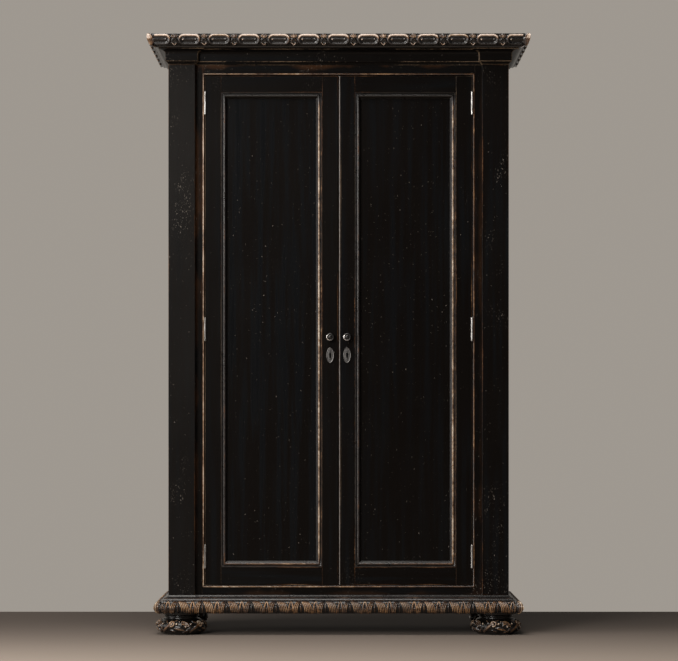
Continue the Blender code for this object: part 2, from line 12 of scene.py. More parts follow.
import bmesh
import bpy
import numpy as np
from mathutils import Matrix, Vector

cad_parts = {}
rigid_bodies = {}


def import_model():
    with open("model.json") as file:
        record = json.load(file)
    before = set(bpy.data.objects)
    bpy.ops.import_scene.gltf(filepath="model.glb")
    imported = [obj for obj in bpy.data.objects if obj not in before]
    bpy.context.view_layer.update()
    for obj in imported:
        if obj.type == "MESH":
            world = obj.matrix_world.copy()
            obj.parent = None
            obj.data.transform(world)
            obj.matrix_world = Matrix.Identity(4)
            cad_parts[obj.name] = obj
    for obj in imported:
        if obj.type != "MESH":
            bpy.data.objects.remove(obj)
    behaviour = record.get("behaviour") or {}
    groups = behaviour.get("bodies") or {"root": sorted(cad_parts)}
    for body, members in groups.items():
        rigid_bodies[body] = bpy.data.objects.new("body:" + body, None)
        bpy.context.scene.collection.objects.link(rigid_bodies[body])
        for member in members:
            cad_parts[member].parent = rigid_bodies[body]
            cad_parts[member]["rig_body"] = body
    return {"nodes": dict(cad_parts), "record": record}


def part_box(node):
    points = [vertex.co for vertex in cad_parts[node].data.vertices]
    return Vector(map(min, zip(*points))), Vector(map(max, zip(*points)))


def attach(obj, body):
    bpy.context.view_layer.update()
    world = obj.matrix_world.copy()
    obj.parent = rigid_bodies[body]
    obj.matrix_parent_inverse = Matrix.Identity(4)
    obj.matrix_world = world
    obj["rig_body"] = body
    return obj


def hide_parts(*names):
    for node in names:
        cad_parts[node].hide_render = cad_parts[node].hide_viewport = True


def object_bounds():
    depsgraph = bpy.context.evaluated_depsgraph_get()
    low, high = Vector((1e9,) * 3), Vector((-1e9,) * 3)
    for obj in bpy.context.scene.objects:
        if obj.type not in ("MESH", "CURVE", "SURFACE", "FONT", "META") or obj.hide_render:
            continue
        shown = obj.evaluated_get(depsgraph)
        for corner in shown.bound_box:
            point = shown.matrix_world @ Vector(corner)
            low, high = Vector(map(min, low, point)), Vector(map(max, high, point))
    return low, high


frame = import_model()
NODES = frame["nodes"]
RECORD = frame["record"]
cad_low, cad_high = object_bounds()
SLOTS = {part["node"]: part["material_slot"] for part in RECORD["subparts"]}

# %% [markdown]
# ## Main sizes
#
# Everything is placed from the joinery itself. A depth is given as `out`, the distance in front of
# the pilasters' face, because the crown, base and doors are all set out from that face.

# %% Main sizes
pilaster_low, pilaster_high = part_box("pilaster_right")
CASE_HALF = pilaster_high.x
PILASTER_INNER = pilaster_low.x
FRONT = pilaster_low.y
BACK = cad_high.y
SIGN = {"left": -1, "right": 1}
print(f"case {2000 * CASE_HALF:.0f} mm wide, pilasters' face at y = {1000 * FRONT:.1f} mm")


def y_at(out):
    return FRONT - out


# %% [markdown]
# ## Writing finishes as arithmetic
#
# A finish is a graph of shader nodes. Small sums such as `1 - mask` are easier to read than a chain
# of Math nodes, so `Value` wraps one socket and turns each operator into a node. `Graph` adds every
# other kind of node through a single method, and `Finish` is the graph of one material.


# %% Sockets that do arithmetic
class Value:
    """One socket of a graph, on which arithmetic adds Math nodes."""

    def __init__(self, graph, socket):
        self.graph, self.socket = graph, socket

    def math(self, operation, *others):
        links = dict(enumerate((self, *others)))
        return self.graph.node("ShaderNodeMath", {"operation": operation}, links)

    def __add__(self, other):
        return self.math("ADD", other)

    def __sub__(self, other):
        return self.math("SUBTRACT", other)

    def __mul__(self, other):
        return self.math("MULTIPLY", other)

    def __rsub__(self, other):
        return self * -1 + other

    __radd__ = __add__
    __rmul__ = __mul__

    def least(self, other):
        return self.math("MINIMUM", other)

    def most(self, other):
        return self.math("MAXIMUM", other)

    def size(self):
        return self.math("ABSOLUTE")


class Graph:
    """A tree of shader nodes, all added by a single method."""

    def __init__(self, tree):
        self.tree = tree

    def node(self, kind, settings=None, values=None, out=0):
        made = self.tree.nodes.new(kind)
        for key, setting in (settings or {}).items():
            setattr(made, key, setting)
        for key, value in (values or {}).items():
            self.plug(value, made.inputs[key])
        return Value(self, made.outputs[out])

    def plug(self, value, socket):
        if isinstance(value, Value):
            self.tree.links.new(value.socket, socket)
        else:
            socket.default_value = value

    def axis(self, vector, index):
        return self.node("ShaderNodeSeparateXYZ", {}, {0: vector}, out=index)


class Finish(Graph):
    """The graph of one material."""

    def __init__(self, name):
        self.material = bpy.data.materials.new(name)
        self.material.use_nodes = True
        super().__init__(self.material.node_tree)
        self.shader = self.tree.nodes["Principled BSDF"]
        self.place = self.node("ShaderNodeTexCoord", out="Object")

    def noise(self, scale, detail=3.0, roughness=0.55, shift=0.0, warp=0.0):
        """Noise from 0 to 1. The scale is in blotches to the metre along X, Y and Z."""
        moved = {"Vector": self.place, "Location": (shift,) * 3, "Scale": scale}
        spot = self.node("ShaderNodeMapping", {}, moved)
        values = {"Vector": spot, "Scale": 1.0, "Detail": detail, "Roughness": roughness}
        return self.node("ShaderNodeTexNoise", {}, {**values, "Distortion": warp})

    def step(self, value, low, high):
        """0 below low and 1 above high, with a smooth rise between; low may be the larger."""
        settings = {"interpolation_type": "SMOOTHSTEP"}
        return self.node("ShaderNodeMapRange", settings, {0: value, 1: low, 2: high})

    def mix(self, mask, under, over):
        values = {0: mask, 6: under, 7: over}
        return self.node("ShaderNodeMix", {"data_type": "RGBA"}, values, out=2)

    def attribute(self, name):
        return self.node("ShaderNodeAttribute", {"attribute_name": name}, out="Fac")

    def surface(self, colour, roughness, height=None, depth=0.0, **constants):
        """Plugs the shader in; height is what the bump is made of and depth its size in metres."""
        self.plug(colour, self.shader.inputs["Base Color"])
        self.plug(roughness, self.shader.inputs["Roughness"])
        for key, value in constants.items():
            self.shader.inputs[key.replace("_", " ")].default_value = value
        if height is not None:
            values = {"Height": height, "Distance": depth, "Strength": 1.0}
            bump = self.node("ShaderNodeBump", {}, values)
            self.plug(bump, self.shader.inputs["Normal"])
        return self.material


def rgba(red, green, blue):
    return (red, green, blue, 1.0)


print("finishes are written with", Value.__name__, Graph.__name__, "and", Finish.__name__)

# %% [markdown]
# ## Rubbed black paint
#
# The paint is two thin coats brushed along each board and then waxed. It wears in three ways:
# arrises rub through to brown wood and at last to pale bare wood, small chips are knocked out of
# the faces, and the wax keeps faint streaks of the brush, which are lightened towards blue-black in
# the colour as a painted sheen. Wear belongs at edges, so the finish needs to know where a board's
# edges are. On a straight board that is simple arithmetic: on its surface one of the three
# distances to the box is nought, so the second smallest is the distance to the nearest arris. The
# same function makes every board's finish from its own box. The ends of the boards are bruised by
# boots and brooms, and a grey haze of dust and painted sheen is mixed in, stronger higher up.

# %% The rubbed paint
BLACK = rgba(0.0034, 0.0024, 0.0019)
SHEEN_BLUE_BLACK = rgba(0.0048, 0.0053, 0.0061)
DUST_AND_SHEEN_GREY = rgba(0.0150, 0.0138, 0.0128)
UNDERCOAT = rgba(0.085, 0.036, 0.014)
BARE = rgba(0.31, 0.215, 0.135)
CHIP = rgba(0.20, 0.175, 0.15)


def brushed_scale(along, fine, coarse):
    """Blotches to the metre for streaks that run along one axis."""
    return tuple(coarse if axis == along else fine for axis in "XYZ")


def face_distance(finish, low, high, i):
    """Distance inside a box from the nearer of its two faces across axis i."""
    middle = (low[i] + high[i]) / 2
    return (high[i] - low[i]) / 2 - (finish.axis(finish.place, i) - middle).size()


def arris_distance(finish, low, high):
    """Distance along the surface to the nearest edge of a box."""
    a, b, c = [face_distance(finish, low, high, i) for i in range(3)]
    return a.least(b).most(a.most(b).least(c))


def painted(name, low, high, along="Z", rub=1.0, sheen=0.5, dust_and_sheen=0.0, scuffs=1.0, stain=0.0):
    """Rubbed black paint for a board in the box from low to high.

    rub is how far the arrises are worn, sheen how strongly the brush streaks are lightened towards
    blue-black as a painted sheen, the haze amount how much the face is greyed by dust and by a
    painted sheen that grows higher up, scuffs how bruised the ends are, and stain how far brown
    spreads inwards.
    """
    finish = Finish(name)
    cloud = finish.noise((5.0, 5.0, 3.0), 3.0, shift=rub)
    streak = finish.noise(brushed_scale(along, 42.0, 1.7), 4.0, 0.6)
    fine = finish.noise(brushed_scale(along, 420.0, 30.0), 3.0)
    specks = finish.noise((230.0, 230.0, 150.0), 2.0, 0.5)
    patches = finish.noise((8.0, 8.0, 5.0), 2.0, shift=4.0)

    edge = arris_distance(finish, low, high)
    from_end = face_distance(finish, low, high, "XYZ".index(along))
    knocked = finish.step(from_end, 0.11, 0.02) * finish.step(patches, 0.44, 0.60)
    ragged = edge + (cloud - 0.5) * 0.014 + (fine - 0.5) * 0.004 + (specks - 0.5) * 0.006
    arris = finish.attribute("arris")
    brown = finish.step(ragged, 0.0014 * rub, -0.0014)
    bare = finish.step(ragged, -0.0012 * rub, -0.0046)
    spread = finish.step(edge + (0.54 - patches) * 0.07 + (0.5 - fine) * 0.01, 0.016, -0.008)
    brown = brown.most(spread * stain)
    bare = bare.most(arris * finish.step(cloud + specks * 0.4, 0.66, 0.86) * min(rub, 1.0))
    bruised = finish.step(patches, 0.60, 0.72).most(knocked)
    scuff = finish.step(specks, 0.625, 0.70) * bruised * 0.6 * scuffs
    chips = finish.step(specks, 0.738, 0.772).most(scuff)
    scratches = finish.step(fine, 0.72, 0.80) * finish.step(patches, 0.54, 0.70)

    # painted sheen: the brush streaks are lightened towards blue-black
    colour = finish.mix(finish.step(streak, 0.42, 0.72) * sheen * 2, BLACK, SHEEN_BLUE_BLACK)
    # dust and painted sheen: a grey haze mixed into the colour, stronger higher up
    up = finish.axis(finish.place, 2)
    dust_and_sheen_amount = (0.5 + cloud) * (0.62 + finish.step(up, 0.5, 2.1) * 0.75)
    colour = finish.mix(dust_and_sheen_amount * dust_and_sheen, colour, DUST_AND_SHEEN_GREY)
    colour = finish.mix(brown * 0.85, colour, UNDERCOAT)
    colour = finish.mix(bare, colour, BARE)
    colour = finish.mix(chips.most(scratches * 0.30), colour, CHIP)
    roughness = 0.33 + (cloud - 0.5) * 0.12 - finish.step(streak, 0.45, 0.75) * sheen * 0.12
    height = fine * 0.5 + streak * 0.7 - chips * 0.8 - brown * 0.5
    return finish.surface(
        colour, roughness + bare * 0.2, height, 0.00030,
        Specular_IOR_Level=0.09, Coat_Weight=0.01, Coat_Roughness=0.20,
    )


print("streaks along Z have", brushed_scale("Z", 42.0, 1.7), "blotches to the metre")

# %% [markdown]
# ## Rubbed paint that follows the carving
#
# On carving the paint stays in the hollows and goes from the crests. Each carved piece carries a
# value called `crest` on its vertices: 0 in the ground, 1 where it is rubbed most; on some pieces
# it is also raised where a painted highlight is wanted. The finish turns that value into paint,
# brown undercoat, warm wood and at last pale bare wood, with noise so that no two crests are worn
# alike.

# %% The finish for carving and mouldings
WARM = rgba(0.30, 0.155, 0.062)
PALE = rgba(0.60, 0.52, 0.42)
GREY_WAX = rgba(0.045, 0.038, 0.036)


def carved(name, rub=1.0, warm=1.0, shift=0.0, uneven=0.9, bare=BARE, pale=PALE):
    """Paint worn by height; rub is how far it has gone and warm how golden the wood is."""
    finish = Finish(name)
    crest = finish.attribute("crest")
    patches = finish.noise((9.0, 9.0, 14.0), 3.0, shift=shift)
    grit = finish.noise((260.0, 260.0, 260.0), 3.0, 0.6)
    breakup = finish.noise((70.0, 70.0, 70.0), 3.0, shift=2.0)

    worn = crest + (patches - 0.5) * uneven + (breakup - 0.5) * 0.55 + (grit - 0.5) * 0.25
    worn = worn + (rub - 1.0) * 0.25
    waxed = finish.step(worn, 0.25, 0.75)
    brown = finish.step(worn, 0.66, 0.86)
    gold = finish.step(worn, 0.84, 1.08)
    whitened = finish.step(worn, 1.02, 1.24)

    colour = finish.mix(waxed * 0.7, BLACK, GREY_WAX)
    colour = finish.mix(brown * 0.9, colour, UNDERCOAT)
    wood = finish.mix(finish.step(patches, 0.40, 0.62) * warm, bare, WARM)
    colour = finish.mix(gold, colour, wood)
    colour = finish.mix(whitened, colour, pale)
    roughness = 0.30 + (breakup - 0.5) * 0.2 + gold * 0.10
    height = grit * 0.5 + breakup * 0.5 - gold * 0.3
    return finish.surface(
        colour, roughness, height, 0.00025, Coat_Weight=0.35, Coat_Roughness=0.16
    )


print("paint on carving wears through to wood of colour", WARM[:3])

# %% [markdown]
# ## Inside wood and metal
#
# The inside is plain boards under a thin dark stain, so the grain still shows. The knobs and
# keyhole plates are aged pewter: dull and blotched, darker in the hollows and polished by fingers
# on the rims; the inside of a keyhole is painted black as shade, and the knobs' rims carry a
# painted highlight on the left. The hinges and bolts are steel that has kept a brushed face.


# %% Stained boards, pewter and steel
def stained(name, along):
    finish = Finish(name)
    rings = finish.noise(brushed_scale(along, 60.0, 2.2), 5.0, 0.6, warp=0.4)
    pores = finish.noise(brushed_scale(along, 700.0, 25.0), 2.0)
    tone = finish.noise((3.0, 3.0, 3.0), 2.0)
    colour = finish.mix(rings, rgba(0.060, 0.036, 0.020), rgba(0.135, 0.086, 0.048))
    colour = finish.mix(finish.step(pores, 0.60, 0.72) * 0.6, colour, rgba(0.022, 0.013, 0.008))
    colour = finish.mix(finish.step(tone, 0.4, 0.7) * 0.35, colour, rgba(0.17, 0.115, 0.07))
    return finish.surface(colour, 0.52 + (rings - 0.5) * 0.16, rings * 0.5 + pores, 0.0003)


def pewter(name, hollow, rubbed_colour, dullness):
    """Hollow and rubbed_colour are greys; dullness is the roughness of the hollows."""
    finish = Finish(name)
    crest = finish.attribute("crest")
    blotch = finish.noise((160.0, 160.0, 160.0), 4.0, 0.6)
    pits = finish.noise((900.0, 900.0, 900.0), 2.0)
    rub_and_painted_highlight = finish.step(crest + (blotch - 0.5) * 0.6, 0.35, 1.1)
    grey = hollow * 1.7
    colour = finish.mix(blotch, rgba(hollow, hollow * 0.95, hollow * 0.95), rgba(grey, grey, grey))
    bright = rgba(rubbed_colour, rubbed_colour * 0.96, rubbed_colour * 0.93)
    colour = finish.mix(rub_and_painted_highlight, colour, bright)
    # crest below nought: the inside of the keyhole is painted black as shade
    colour = finish.mix(finish.step(crest, -0.1, -0.6), colour, rgba(0.002, 0.002, 0.002))
    roughness = dullness + (blotch - 0.5) * 0.2 - rub_and_painted_highlight * 0.10
    return finish.surface(colour, roughness, pits + blotch, 0.00012, Metallic=0.9)


def steel():
    finish = Finish("worn_steel")
    brush = finish.noise((900.0, 900.0, 60.0), 3.0)
    stain = finish.noise((55.0, 55.0, 40.0), 3.0)
    dull = finish.step(stain, 0.35, 0.7)
    colour = finish.mix(dull, rgba(0.42, 0.41, 0.40), rgba(0.22, 0.205, 0.19))
    return finish.surface(colour, 0.26 + brush * 0.2, brush, 0.00004, Metallic=1.0)


PEWTER = pewter("aged_pewter", 0.085, 0.30, 0.44)
POLISHED = pewter("rubbed_pewter", 0.045, 0.70, 0.30)
STEEL = steel()
print("metals:", PEWTER.name, POLISHED.name, STEEL.name)

# %% [markdown]
# ## Putting a piece on the armoire
#
# A new piece stands for one or more pieces of joinery: it rides on the same body, so that it swings
# with its door, and the joinery it stands for is hidden.


# %% Finishing and fitting a piece
def to_object(name, bm, material, smooth_angle=None):
    """Makes an object of a bmesh.

    A shape built from nothing gives smooth_angle, in degrees: its faces are turned outward and the
    shading of its softer edges is rounded.
    """
    if smooth_angle:
        bmesh.ops.recalc_face_normals(bm, faces=bm.faces)
    mesh = bpy.data.meshes.new(name)
    bm.to_mesh(mesh)
    bm.free()
    mesh.materials.append(material)
    if smooth_angle:
        mesh.shade_smooth()
        mesh.set_sharp_from_angle(angle=math.radians(smooth_angle))
    obj = bpy.data.objects.new(name, mesh)
    bpy.context.scene.collection.objects.link(obj)
    return obj


def fit(obj, *nodes):
    """obj stands for these pieces of joinery, on their body; the pieces themselves are hidden."""
    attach(obj, NODES[nodes[0]]["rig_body"])
    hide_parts(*nodes)
    return obj


# %% [markdown]
# ## Easing the boards
#
# A sharp machine-cut corner never survives sanding and painting, and it would catch no light. Each
# board is therefore copied from the joinery, its loose triangles are merged into whole faces, and
# every square arris gets a small round. The round's faces are marked with an `arris` value so that
# the paint can rub through exactly there.


# %% Eased copies of the boards
def eased(node, material, ease=0.0011, segments=2):
    bm = bmesh.new()
    bm.from_mesh(NODES[node].data)
    arris = bm.faces.layers.float.new("arris")
    bmesh.ops.remove_doubles(bm, verts=bm.verts, dist=2e-6)
    bmesh.ops.dissolve_limit(
        bm, angle_limit=math.radians(0.5), verts=bm.verts, edges=bm.edges, delimit=set()
    )
    square = [
        edge
        for edge in bm.edges
        if len(edge.link_faces) == 2 and edge.calc_face_angle(0) > math.radians(48)
    ]
    rounds = bmesh.ops.bevel(
        bm, geom=square, offset=ease, segments=segments, profile=0.5, affect="EDGES",
        material=-1, clamp_overlap=True, loop_slide=True,
    )["faces"]
    for face in rounds:
        face[arris] = 1.0
    return fit(to_object(node + "_eased", bm, material), node)


def board_finish(node, rub=1.0, sheen=0.5, dust_and_sheen=0.0, scuffs=1.0, stain=0.0):
    """Paint for one board, with its streaks along the board's longest side."""
    low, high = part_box(node)
    long_axis = max(range(3), key=lambda i: high[i] - low[i])
    return painted("paint_" + node, low, high, "XYZ"[long_axis], rub, sheen, dust_and_sheen, scuffs, stain)


# %% [markdown]
# ## Boards of the carcase
#
# The pilasters stand proud at the corners, so they are worn the most and have the roundest arrises.
# The left pilaster, the left side and the left cornice are greyed by dust and by a painted sheen,
# so that they read as lit from the left. Brown has spread from the edges of the frame over the
# doors, where hands pull them open.

# %% Boards of the carcase
RUBBED = {"pilaster": 1.3, "frame": 0.6, "side": 1.2, "cornice": 0.5}
EASED = {"pilaster": 0.0030, "frame": 0.0010, "side": 0.0020, "cornice": 0.0015}
# boards on the left are greyed by dust and by a painted sheen from the light on the left
DUST_AND_SHEEN_BOARDS = {"pilaster_left": 0.52, "side_panel_left": 0.3, "cornice_left": 0.3}
STAINED = {"frame_rail_top": 0.6, "frame_stile_left": 0.6}
PAINTED_CARCASE = [
    f"{kind}_{side}"
    for kind in ("pilaster", "side_panel", "frame_stile", "cornice")
    for side in ("left", "right")
] + ["frame_rail_top", "frame_rail_bottom", "cornice_front"]
for node in PAINTED_CARCASE:
    kind = node.split("_")[0]
    stain = STAINED.get(node, 0.25 * (kind == "frame"))
    finish = board_finish(node, RUBBED[kind], dust_and_sheen=DUST_AND_SHEEN_BOARDS.get(node, 0.05), stain=stain)
    eased(node, finish, EASED[kind], segments=3)
print(len(PAINTED_CARCASE), "painted boards eased")

# %% [markdown]
# ## Boards inside
#
# Nothing rubs the inside but clothes, so its boards are only stained. The grain follows each board:
# upright in the back, across in the floor, the shelf and the rod, front to back in the cleats.

# %% Boards inside
ACROSS, UPRIGHT = stained("stained_across", "X"), stained("stained_upright", "Z")
DEEP = stained("stained_front_to_back", "Y")
for node, material in {
    "back_panel": UPRIGHT,
    "bottom_board": ACROSS,
    "top_board": ACROSS,
    "hat_shelf": ACROSS,
    "cleat_left": DEEP,
    "cleat_right": DEEP,
    "hanging_rod": ACROSS,
}.items():
    eased(node, material, 0.0009)
print("inside boards stained")

# %% [markdown]
# ## Stiles, rails and panels of the doors
#
# The frame of a door is handled every day, and its flat panel hardly ever. So the stiles and rails
# are rubbed at their edges, and the panels keep their brush marks and have next to no scuffs. The
# left door is given more painted sheen and haze, so it reads lighter than the right.

# %% Stiles, rails and panels of the doors
# the left door carries more painted sheen and haze than the right, so it reads lighter
DOOR_DUST_AND_SHEEN = {"left": 0.07, "right": 0.0}
PANEL_SHEEN = {"left": 0.9, "right": 0.45}
for side in ("left", "right"):
    for part in ("meeting_stile", "hinge_stile", "rail_top", "rail_bottom"):
        node = f"{side}_door_{part}"
        eased(node, board_finish(node, 0.75, dust_and_sheen=DOOR_DUST_AND_SHEEN[side], scuffs=0.35), 0.0008)
    node = f"{side}_door_panel"
    eased(node, board_finish(node, 0.2, PANEL_SHEEN[side], DOOR_DUST_AND_SHEEN[side] * 0.3, scuffs=0.08))
print("doors eased")

# %% [markdown]
# ## Steel parts
#
# The hinges, lock case and bolts keep the joinery's shape and only need their metal.

# %% Steel on the lock, bolts and hinges
for node, slot in SLOTS.items():
    if slot == "steel":
        NODES[node].data.materials.clear()
        NODES[node].data.materials.append(STEEL)
        NODES[node].material_slots[0].material = STEEL
print(sum(slot == "steel" for slot in SLOTS.values()), "steel pieces")

# %% [markdown]
# ## Sections and runs
#
# A moulding is one section pushed along a line. The section is drawn as a chain of points at each
# end of the run and the two chains are bridged. A mitred ring has a section at each corner.


# %% Running a section between stations
def chain(bm, points, closed=False):
    """Edges joining points in order."""
    verts = [bm.verts.new(point) for point in points]
    pairs = list(zip(verts, verts[1:]))
    if closed:
        pairs.append((verts[-1], verts[0]))
    return [bm.edges.new(pair) for pair in pairs]


def run(bm, stations, closed=False, ring=False):
    """Bridges the same section from station to station; returns the edges along the run."""
    chains = [chain(bm, station, closed) for station in stations]
    if ring:
        chains.append(chains[0])
    for near, far in zip(chains, chains[1:]):
        bmesh.ops.bridge_loops(bm, edges=near + far)
    bm.edges.ensure_lookup_table()
    across = {edge for edges in chains for edge in edges}
    return [edge for edge in bm.edges if edge not in across]


def smooth_line(points, step):
    """Points at an even step along a polyline whose corners are rounded by a spline."""
    points = np.array(points, float)
    padded = np.vstack([2 * points[0] - points[1], points, 2 * points[-1] - points[-2]])
    fine = []
    for a, b, c, d in zip(padded, padded[1:], padded[2:], padded[3:]):
        for t in np.linspace(0, 1, 24, endpoint=False):
            fine.append(
                0.5 * (2 * b + (c - a) * t + (2 * a - 5 * b + 4 * c - d) * t**2
                       + (3 * b - a - 3 * c + d) * t**3)
            )
    fine = np.array(fine + [points[-1]])
    lengths = np.concatenate([[0], np.cumsum(np.linalg.norm(np.diff(fine, axis=0), axis=1))])
    count = max(2, round(lengths[-1] / step) + 1)
    wanted = np.linspace(0, lengths[-1], count)
    return np.stack([np.interp(wanted, lengths, fine[:, i]) for i in range(2)], axis=1)


def mark_crest(obj, values):
    """How worn each vertex is, with any painted highlight; below nought, a hole painted black as
    shade.
    """
    layer = obj.data.attributes.new("crest", "FLOAT", "POINT")
    layer.data.foreach_set("value", np.clip(values, -1, 1.4).astype(np.float32))


def coordinates(obj):
    points = np.empty(len(obj.data.vertices) * 3, np.float32)
    obj.data.vertices.foreach_get("co", points)
    return points.reshape(-1, 3).astype(float)


def move_points(obj, points):
    obj.data.vertices.foreach_set("co", points.astype(np.float32).ravel())
    obj.data.update()


def fill_ends(bm):
    bmesh.ops.holes_fill(bm, edges=[edge for edge in bm.edges if edge.is_boundary])


print("sections can be run")

# %% [markdown]
# ## Carving as a height over a moulding
#
# Real carving starts from a plain moulding: the design is drawn along it and the ground is sunk
# round it. The same order works here. A dense run of the plain section comes first; then each
# vertex moves out or in along the section's own normal by a height that is a function of two
# distances, along the run and round the section. The shapes in that function are the carver's
# strokes: a ridge along a line, a dome, a ring, an oval and a leaf.


# %% Strokes of the gouge
def ridge(distance, half_width):
    """A rounded ridge along the line where distance is nought."""
    return np.sqrt(np.clip(1 - (distance / half_width) ** 2, 0, 1))


def dome(s, t, radius):
    return ridge(np.hypot(s, t), radius)


def ring(s, t, radius, half_width):
    return ridge(np.hypot(s, t) - radius, half_width)


def oval(s, t, half_length, radius):
    """Distance outside a long oval; negative inside it."""
    return np.hypot(np.maximum(np.abs(s) - (half_length - radius), 0), t) - radius


def leaf(s, t, half_width, half_length):
    """A leaf pointed at both ends, with a soft spine."""
    reach = half_width * np.clip(1 - (t / half_length) ** 2, 0, 1)
    return np.clip(1 - np.abs(s) / np.maximum(reach, 1e-6), 0, 1) ** 0.7


def turned_by(s, t, degrees):
    c, d = math.cos(math.radians(degrees)), math.sin(math.radians(degrees))
    return s * c + t * d, t * c - s * d


def highest(*strokes):
    return np.maximum.reduce(np.broadcast_arrays(*strokes))


print("a ridge 4 mm wide is", float(ridge(0.001, 0.002).round(2)), "high at 1 mm from its line")

# %% [markdown]
# ## The mouldings round the door panels
#
# Each panel is held by a bolection: a square step against the frame, a quirk, a round and a hollow
# that dies on to the panel. It is the most rubbed line on each door, because every cloth that wipes
# the panel catches it.

# %% Panel mouldings
GAP = 0.0003
SHOULDER = [(GAP, GAP), (GAP, 0.0104), (0.0007, 0.0108), (0.0038, 0.0108), (0.0042, 0.0104)]
ROUND = smooth_line(
    [(0.0048, 0.0078), (0.0066, 0.0076), (0.0080, 0.0108), (0.0096, 0.0128), (0.0118, 0.0132),
     (0.0142, 0.0126), (0.0162, 0.0106), (0.0180, 0.0078), (0.0204, 0.0046), (0.0222, 0.0024),
     (0.0228, 0.0003)],
    0.0011,
)
MOULDING = SHOULDER + [(0.0046, 0.0080)] + [tuple(point) for point in ROUND]
RUB_LINE = carved("moulding_finish", rub=1.15, warm=0.6)


def panel_moulding(side):
    low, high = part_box(f"{side}_door_moulding")
    panel_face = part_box(f"{side}_door_panel")[0].y
    stations = []
    for across, up in ((0, 0), (1, 0), (1, 1), (0, 1)):
        corner = []
        for inward, height in MOULDING:
            x = high.x - inward + GAP if across else low.x + inward - GAP
            z = high.z - inward + GAP if up else low.z + inward - GAP
            corner.append((x, panel_face - height, z))
        stations.append(corner)
    bm = bmesh.new()
    long_edges = run(bm, stations, closed=True, ring=True)
    bmesh.ops.subdivide_edges(bm, edges=long_edges, cuts=40, use_grid_fill=True)
    obj = to_object(f"{side}_moulding_run", bm, RUB_LINE, smooth_angle=38)
    points = coordinates(obj)
    height = panel_face - points[:, 1]
    inward = np.minimum.reduce(
        [points[:, 0] - low.x, high.x - points[:, 0], points[:, 2] - low.z, high.z - points[:, 2]]
    )
    crest = np.maximum((height - 0.0088) / 0.0044, 0.8 * ridge(inward - 0.0037, 0.0009))
    # the right and bottom runs face the light, so they are made paler as a painted highlight, and
    # the top run is kept dark as painted shade
    rub_and_painted_highlight = np.where(high.x - points[:, 0] < MOULDING[-1][0] + 0.001, 1.05, 0.60)
    rub_and_painted_highlight = np.where(points[:, 2] - low.z < MOULDING[-1][0] + 0.001, 0.80, rub_and_painted_highlight)
    rub_and_painted_highlight = np.where(high.z - points[:, 2] < MOULDING[-1][0] + 0.001, 0.10, rub_and_painted_highlight)
    mark_crest(obj, crest * rub_and_painted_highlight)
    return fit(obj, f"{side}_door_moulding")


for side in ("left", "right"):
    moulding = panel_moulding(side)
    print(moulding.name, len(moulding.data.polygons), "faces")

# %% [markdown]
# ## Beads on the frame and the meeting edge
#
# A half-round bead hides the joint between each door and the frame, and another one is worked on
# the right door where the two doors meet. Beads stand proud and thin, so their paint is mostly
# gone. The bead round the opening is one mitred ring, made paler on the left as a painted
# highlight; the meeting bead is a single straight run whose worn crest is painted grey, a painted
# sheen where it catches the light.

# %% Beads
BEAD_HALF = 0.0036
BEAD_OUT = 0.0044
OPENING_FLOOR, OPENING_TOP = 0.1762, 2.0405


def half_round(half_width, height, count=9):
    """(across, out) points over a bead, from one side to the other."""
    angles = np.linspace(0, math.pi, count)
    return [(-half_width * math.cos(a), height * math.sin(a)) for a in angles]


opening_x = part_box("frame_stile_right")[0].x + BEAD_HALF + GAP
opening_z = (OPENING_FLOOR - BEAD_HALF, OPENING_TOP + BEAD_HALF)
bead_floor = y_at(-0.0222)
BEAD_FINISH = carved("bead_finish", rub=1.15, warm=1.0, shift=3.0, bare=rgba(0.26, 0.19, 0.13))
# worn paint with a grey painted sheen on the meeting bead's crest
MEETING_WEAR_AND_SHEEN = carved(
    "meeting_wear_and_painted_sheen", rub=2.6, warm=0.0, shift=4.0, uneven=0.5, bare=rgba(0.115, 0.105, 0.096),
    pale=rgba(0.19, 0.175, 0.16),
)

bead_section = half_round(BEAD_HALF, BEAD_OUT) + [(BEAD_HALF, -0.003), (-BEAD_HALF, -0.003)]
stations = [
    [(sign_x * (opening_x + across), bead_floor - out, opening_z[up] + (2 * up - 1) * across)
     for across, out in bead_section]
    for sign_x, up in ((-1, 0), (1, 0), (1, 1), (-1, 1))
]
bm = bmesh.new()
run(bm, stations, closed=True, ring=True)
opening_bead = to_object("opening_bead", bm, BEAD_FINISH, smooth_angle=50)
bead_points = coordinates(opening_bead)
# painted highlight: the bead is made paler towards the left, where the light is
painted_highlight_to_left = np.interp(bead_points[:, 0], (-opening_x, opening_x), (1.06, 0.86))
mark_crest(opening_bead, (bead_floor - bead_points[:, 1]) / BEAD_OUT * painted_highlight_to_left)
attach(opening_bead, "carcase")

door_low, door_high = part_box("right_door_meeting_stile")
meeting_floor = door_low.y + 0.0022
bm = bmesh.new()
stations = [
    [(door_low.x + 0.0026 + across, meeting_floor - out, z)
     for across, out in half_round(0.0025, 0.0026)]
    for z in (door_low.z + 0.0006, door_high.z - 0.0006)
]
run(bm, stations, closed=True)
fill_ends(bm)
meeting_bead = to_object("meeting_bead", bm, MEETING_WEAR_AND_SHEEN, smooth_angle=50)
mark_crest(meeting_bead, (meeting_floor - coordinates(meeting_bead)[:, 1]) / 0.0034)
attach(meeting_bead, "right_door")
print("opening", f"{2000 * opening_x:.0f} mm wide, beads {2000 * BEAD_HALF:.1f} mm across")

# %% [markdown]
# ## The crown's design
#
# Thirteen long cartouches run across the front: an oval boss inside a thin lip and a thick strap,
# with a small curl at each end. Between two cartouches sit a bead between two rings, with a tuft
# above it, a spray of leaves to each side, and two leaves and a drop hanging below. A broad ribbed
# leaf turns each corner. The function gives two values: how high the carving stands, and how pale
# it is made, which is not the same: the upper straps are rubbed more and also carry a painted
# highlight from above, and the curls at the left ends carry a painted highlight from the left.

# %% Crown relief
CROWN_UNIT = 0.1080
CROWN_GROUND = -0.0040
CROWN_DEPTH = 0.0058


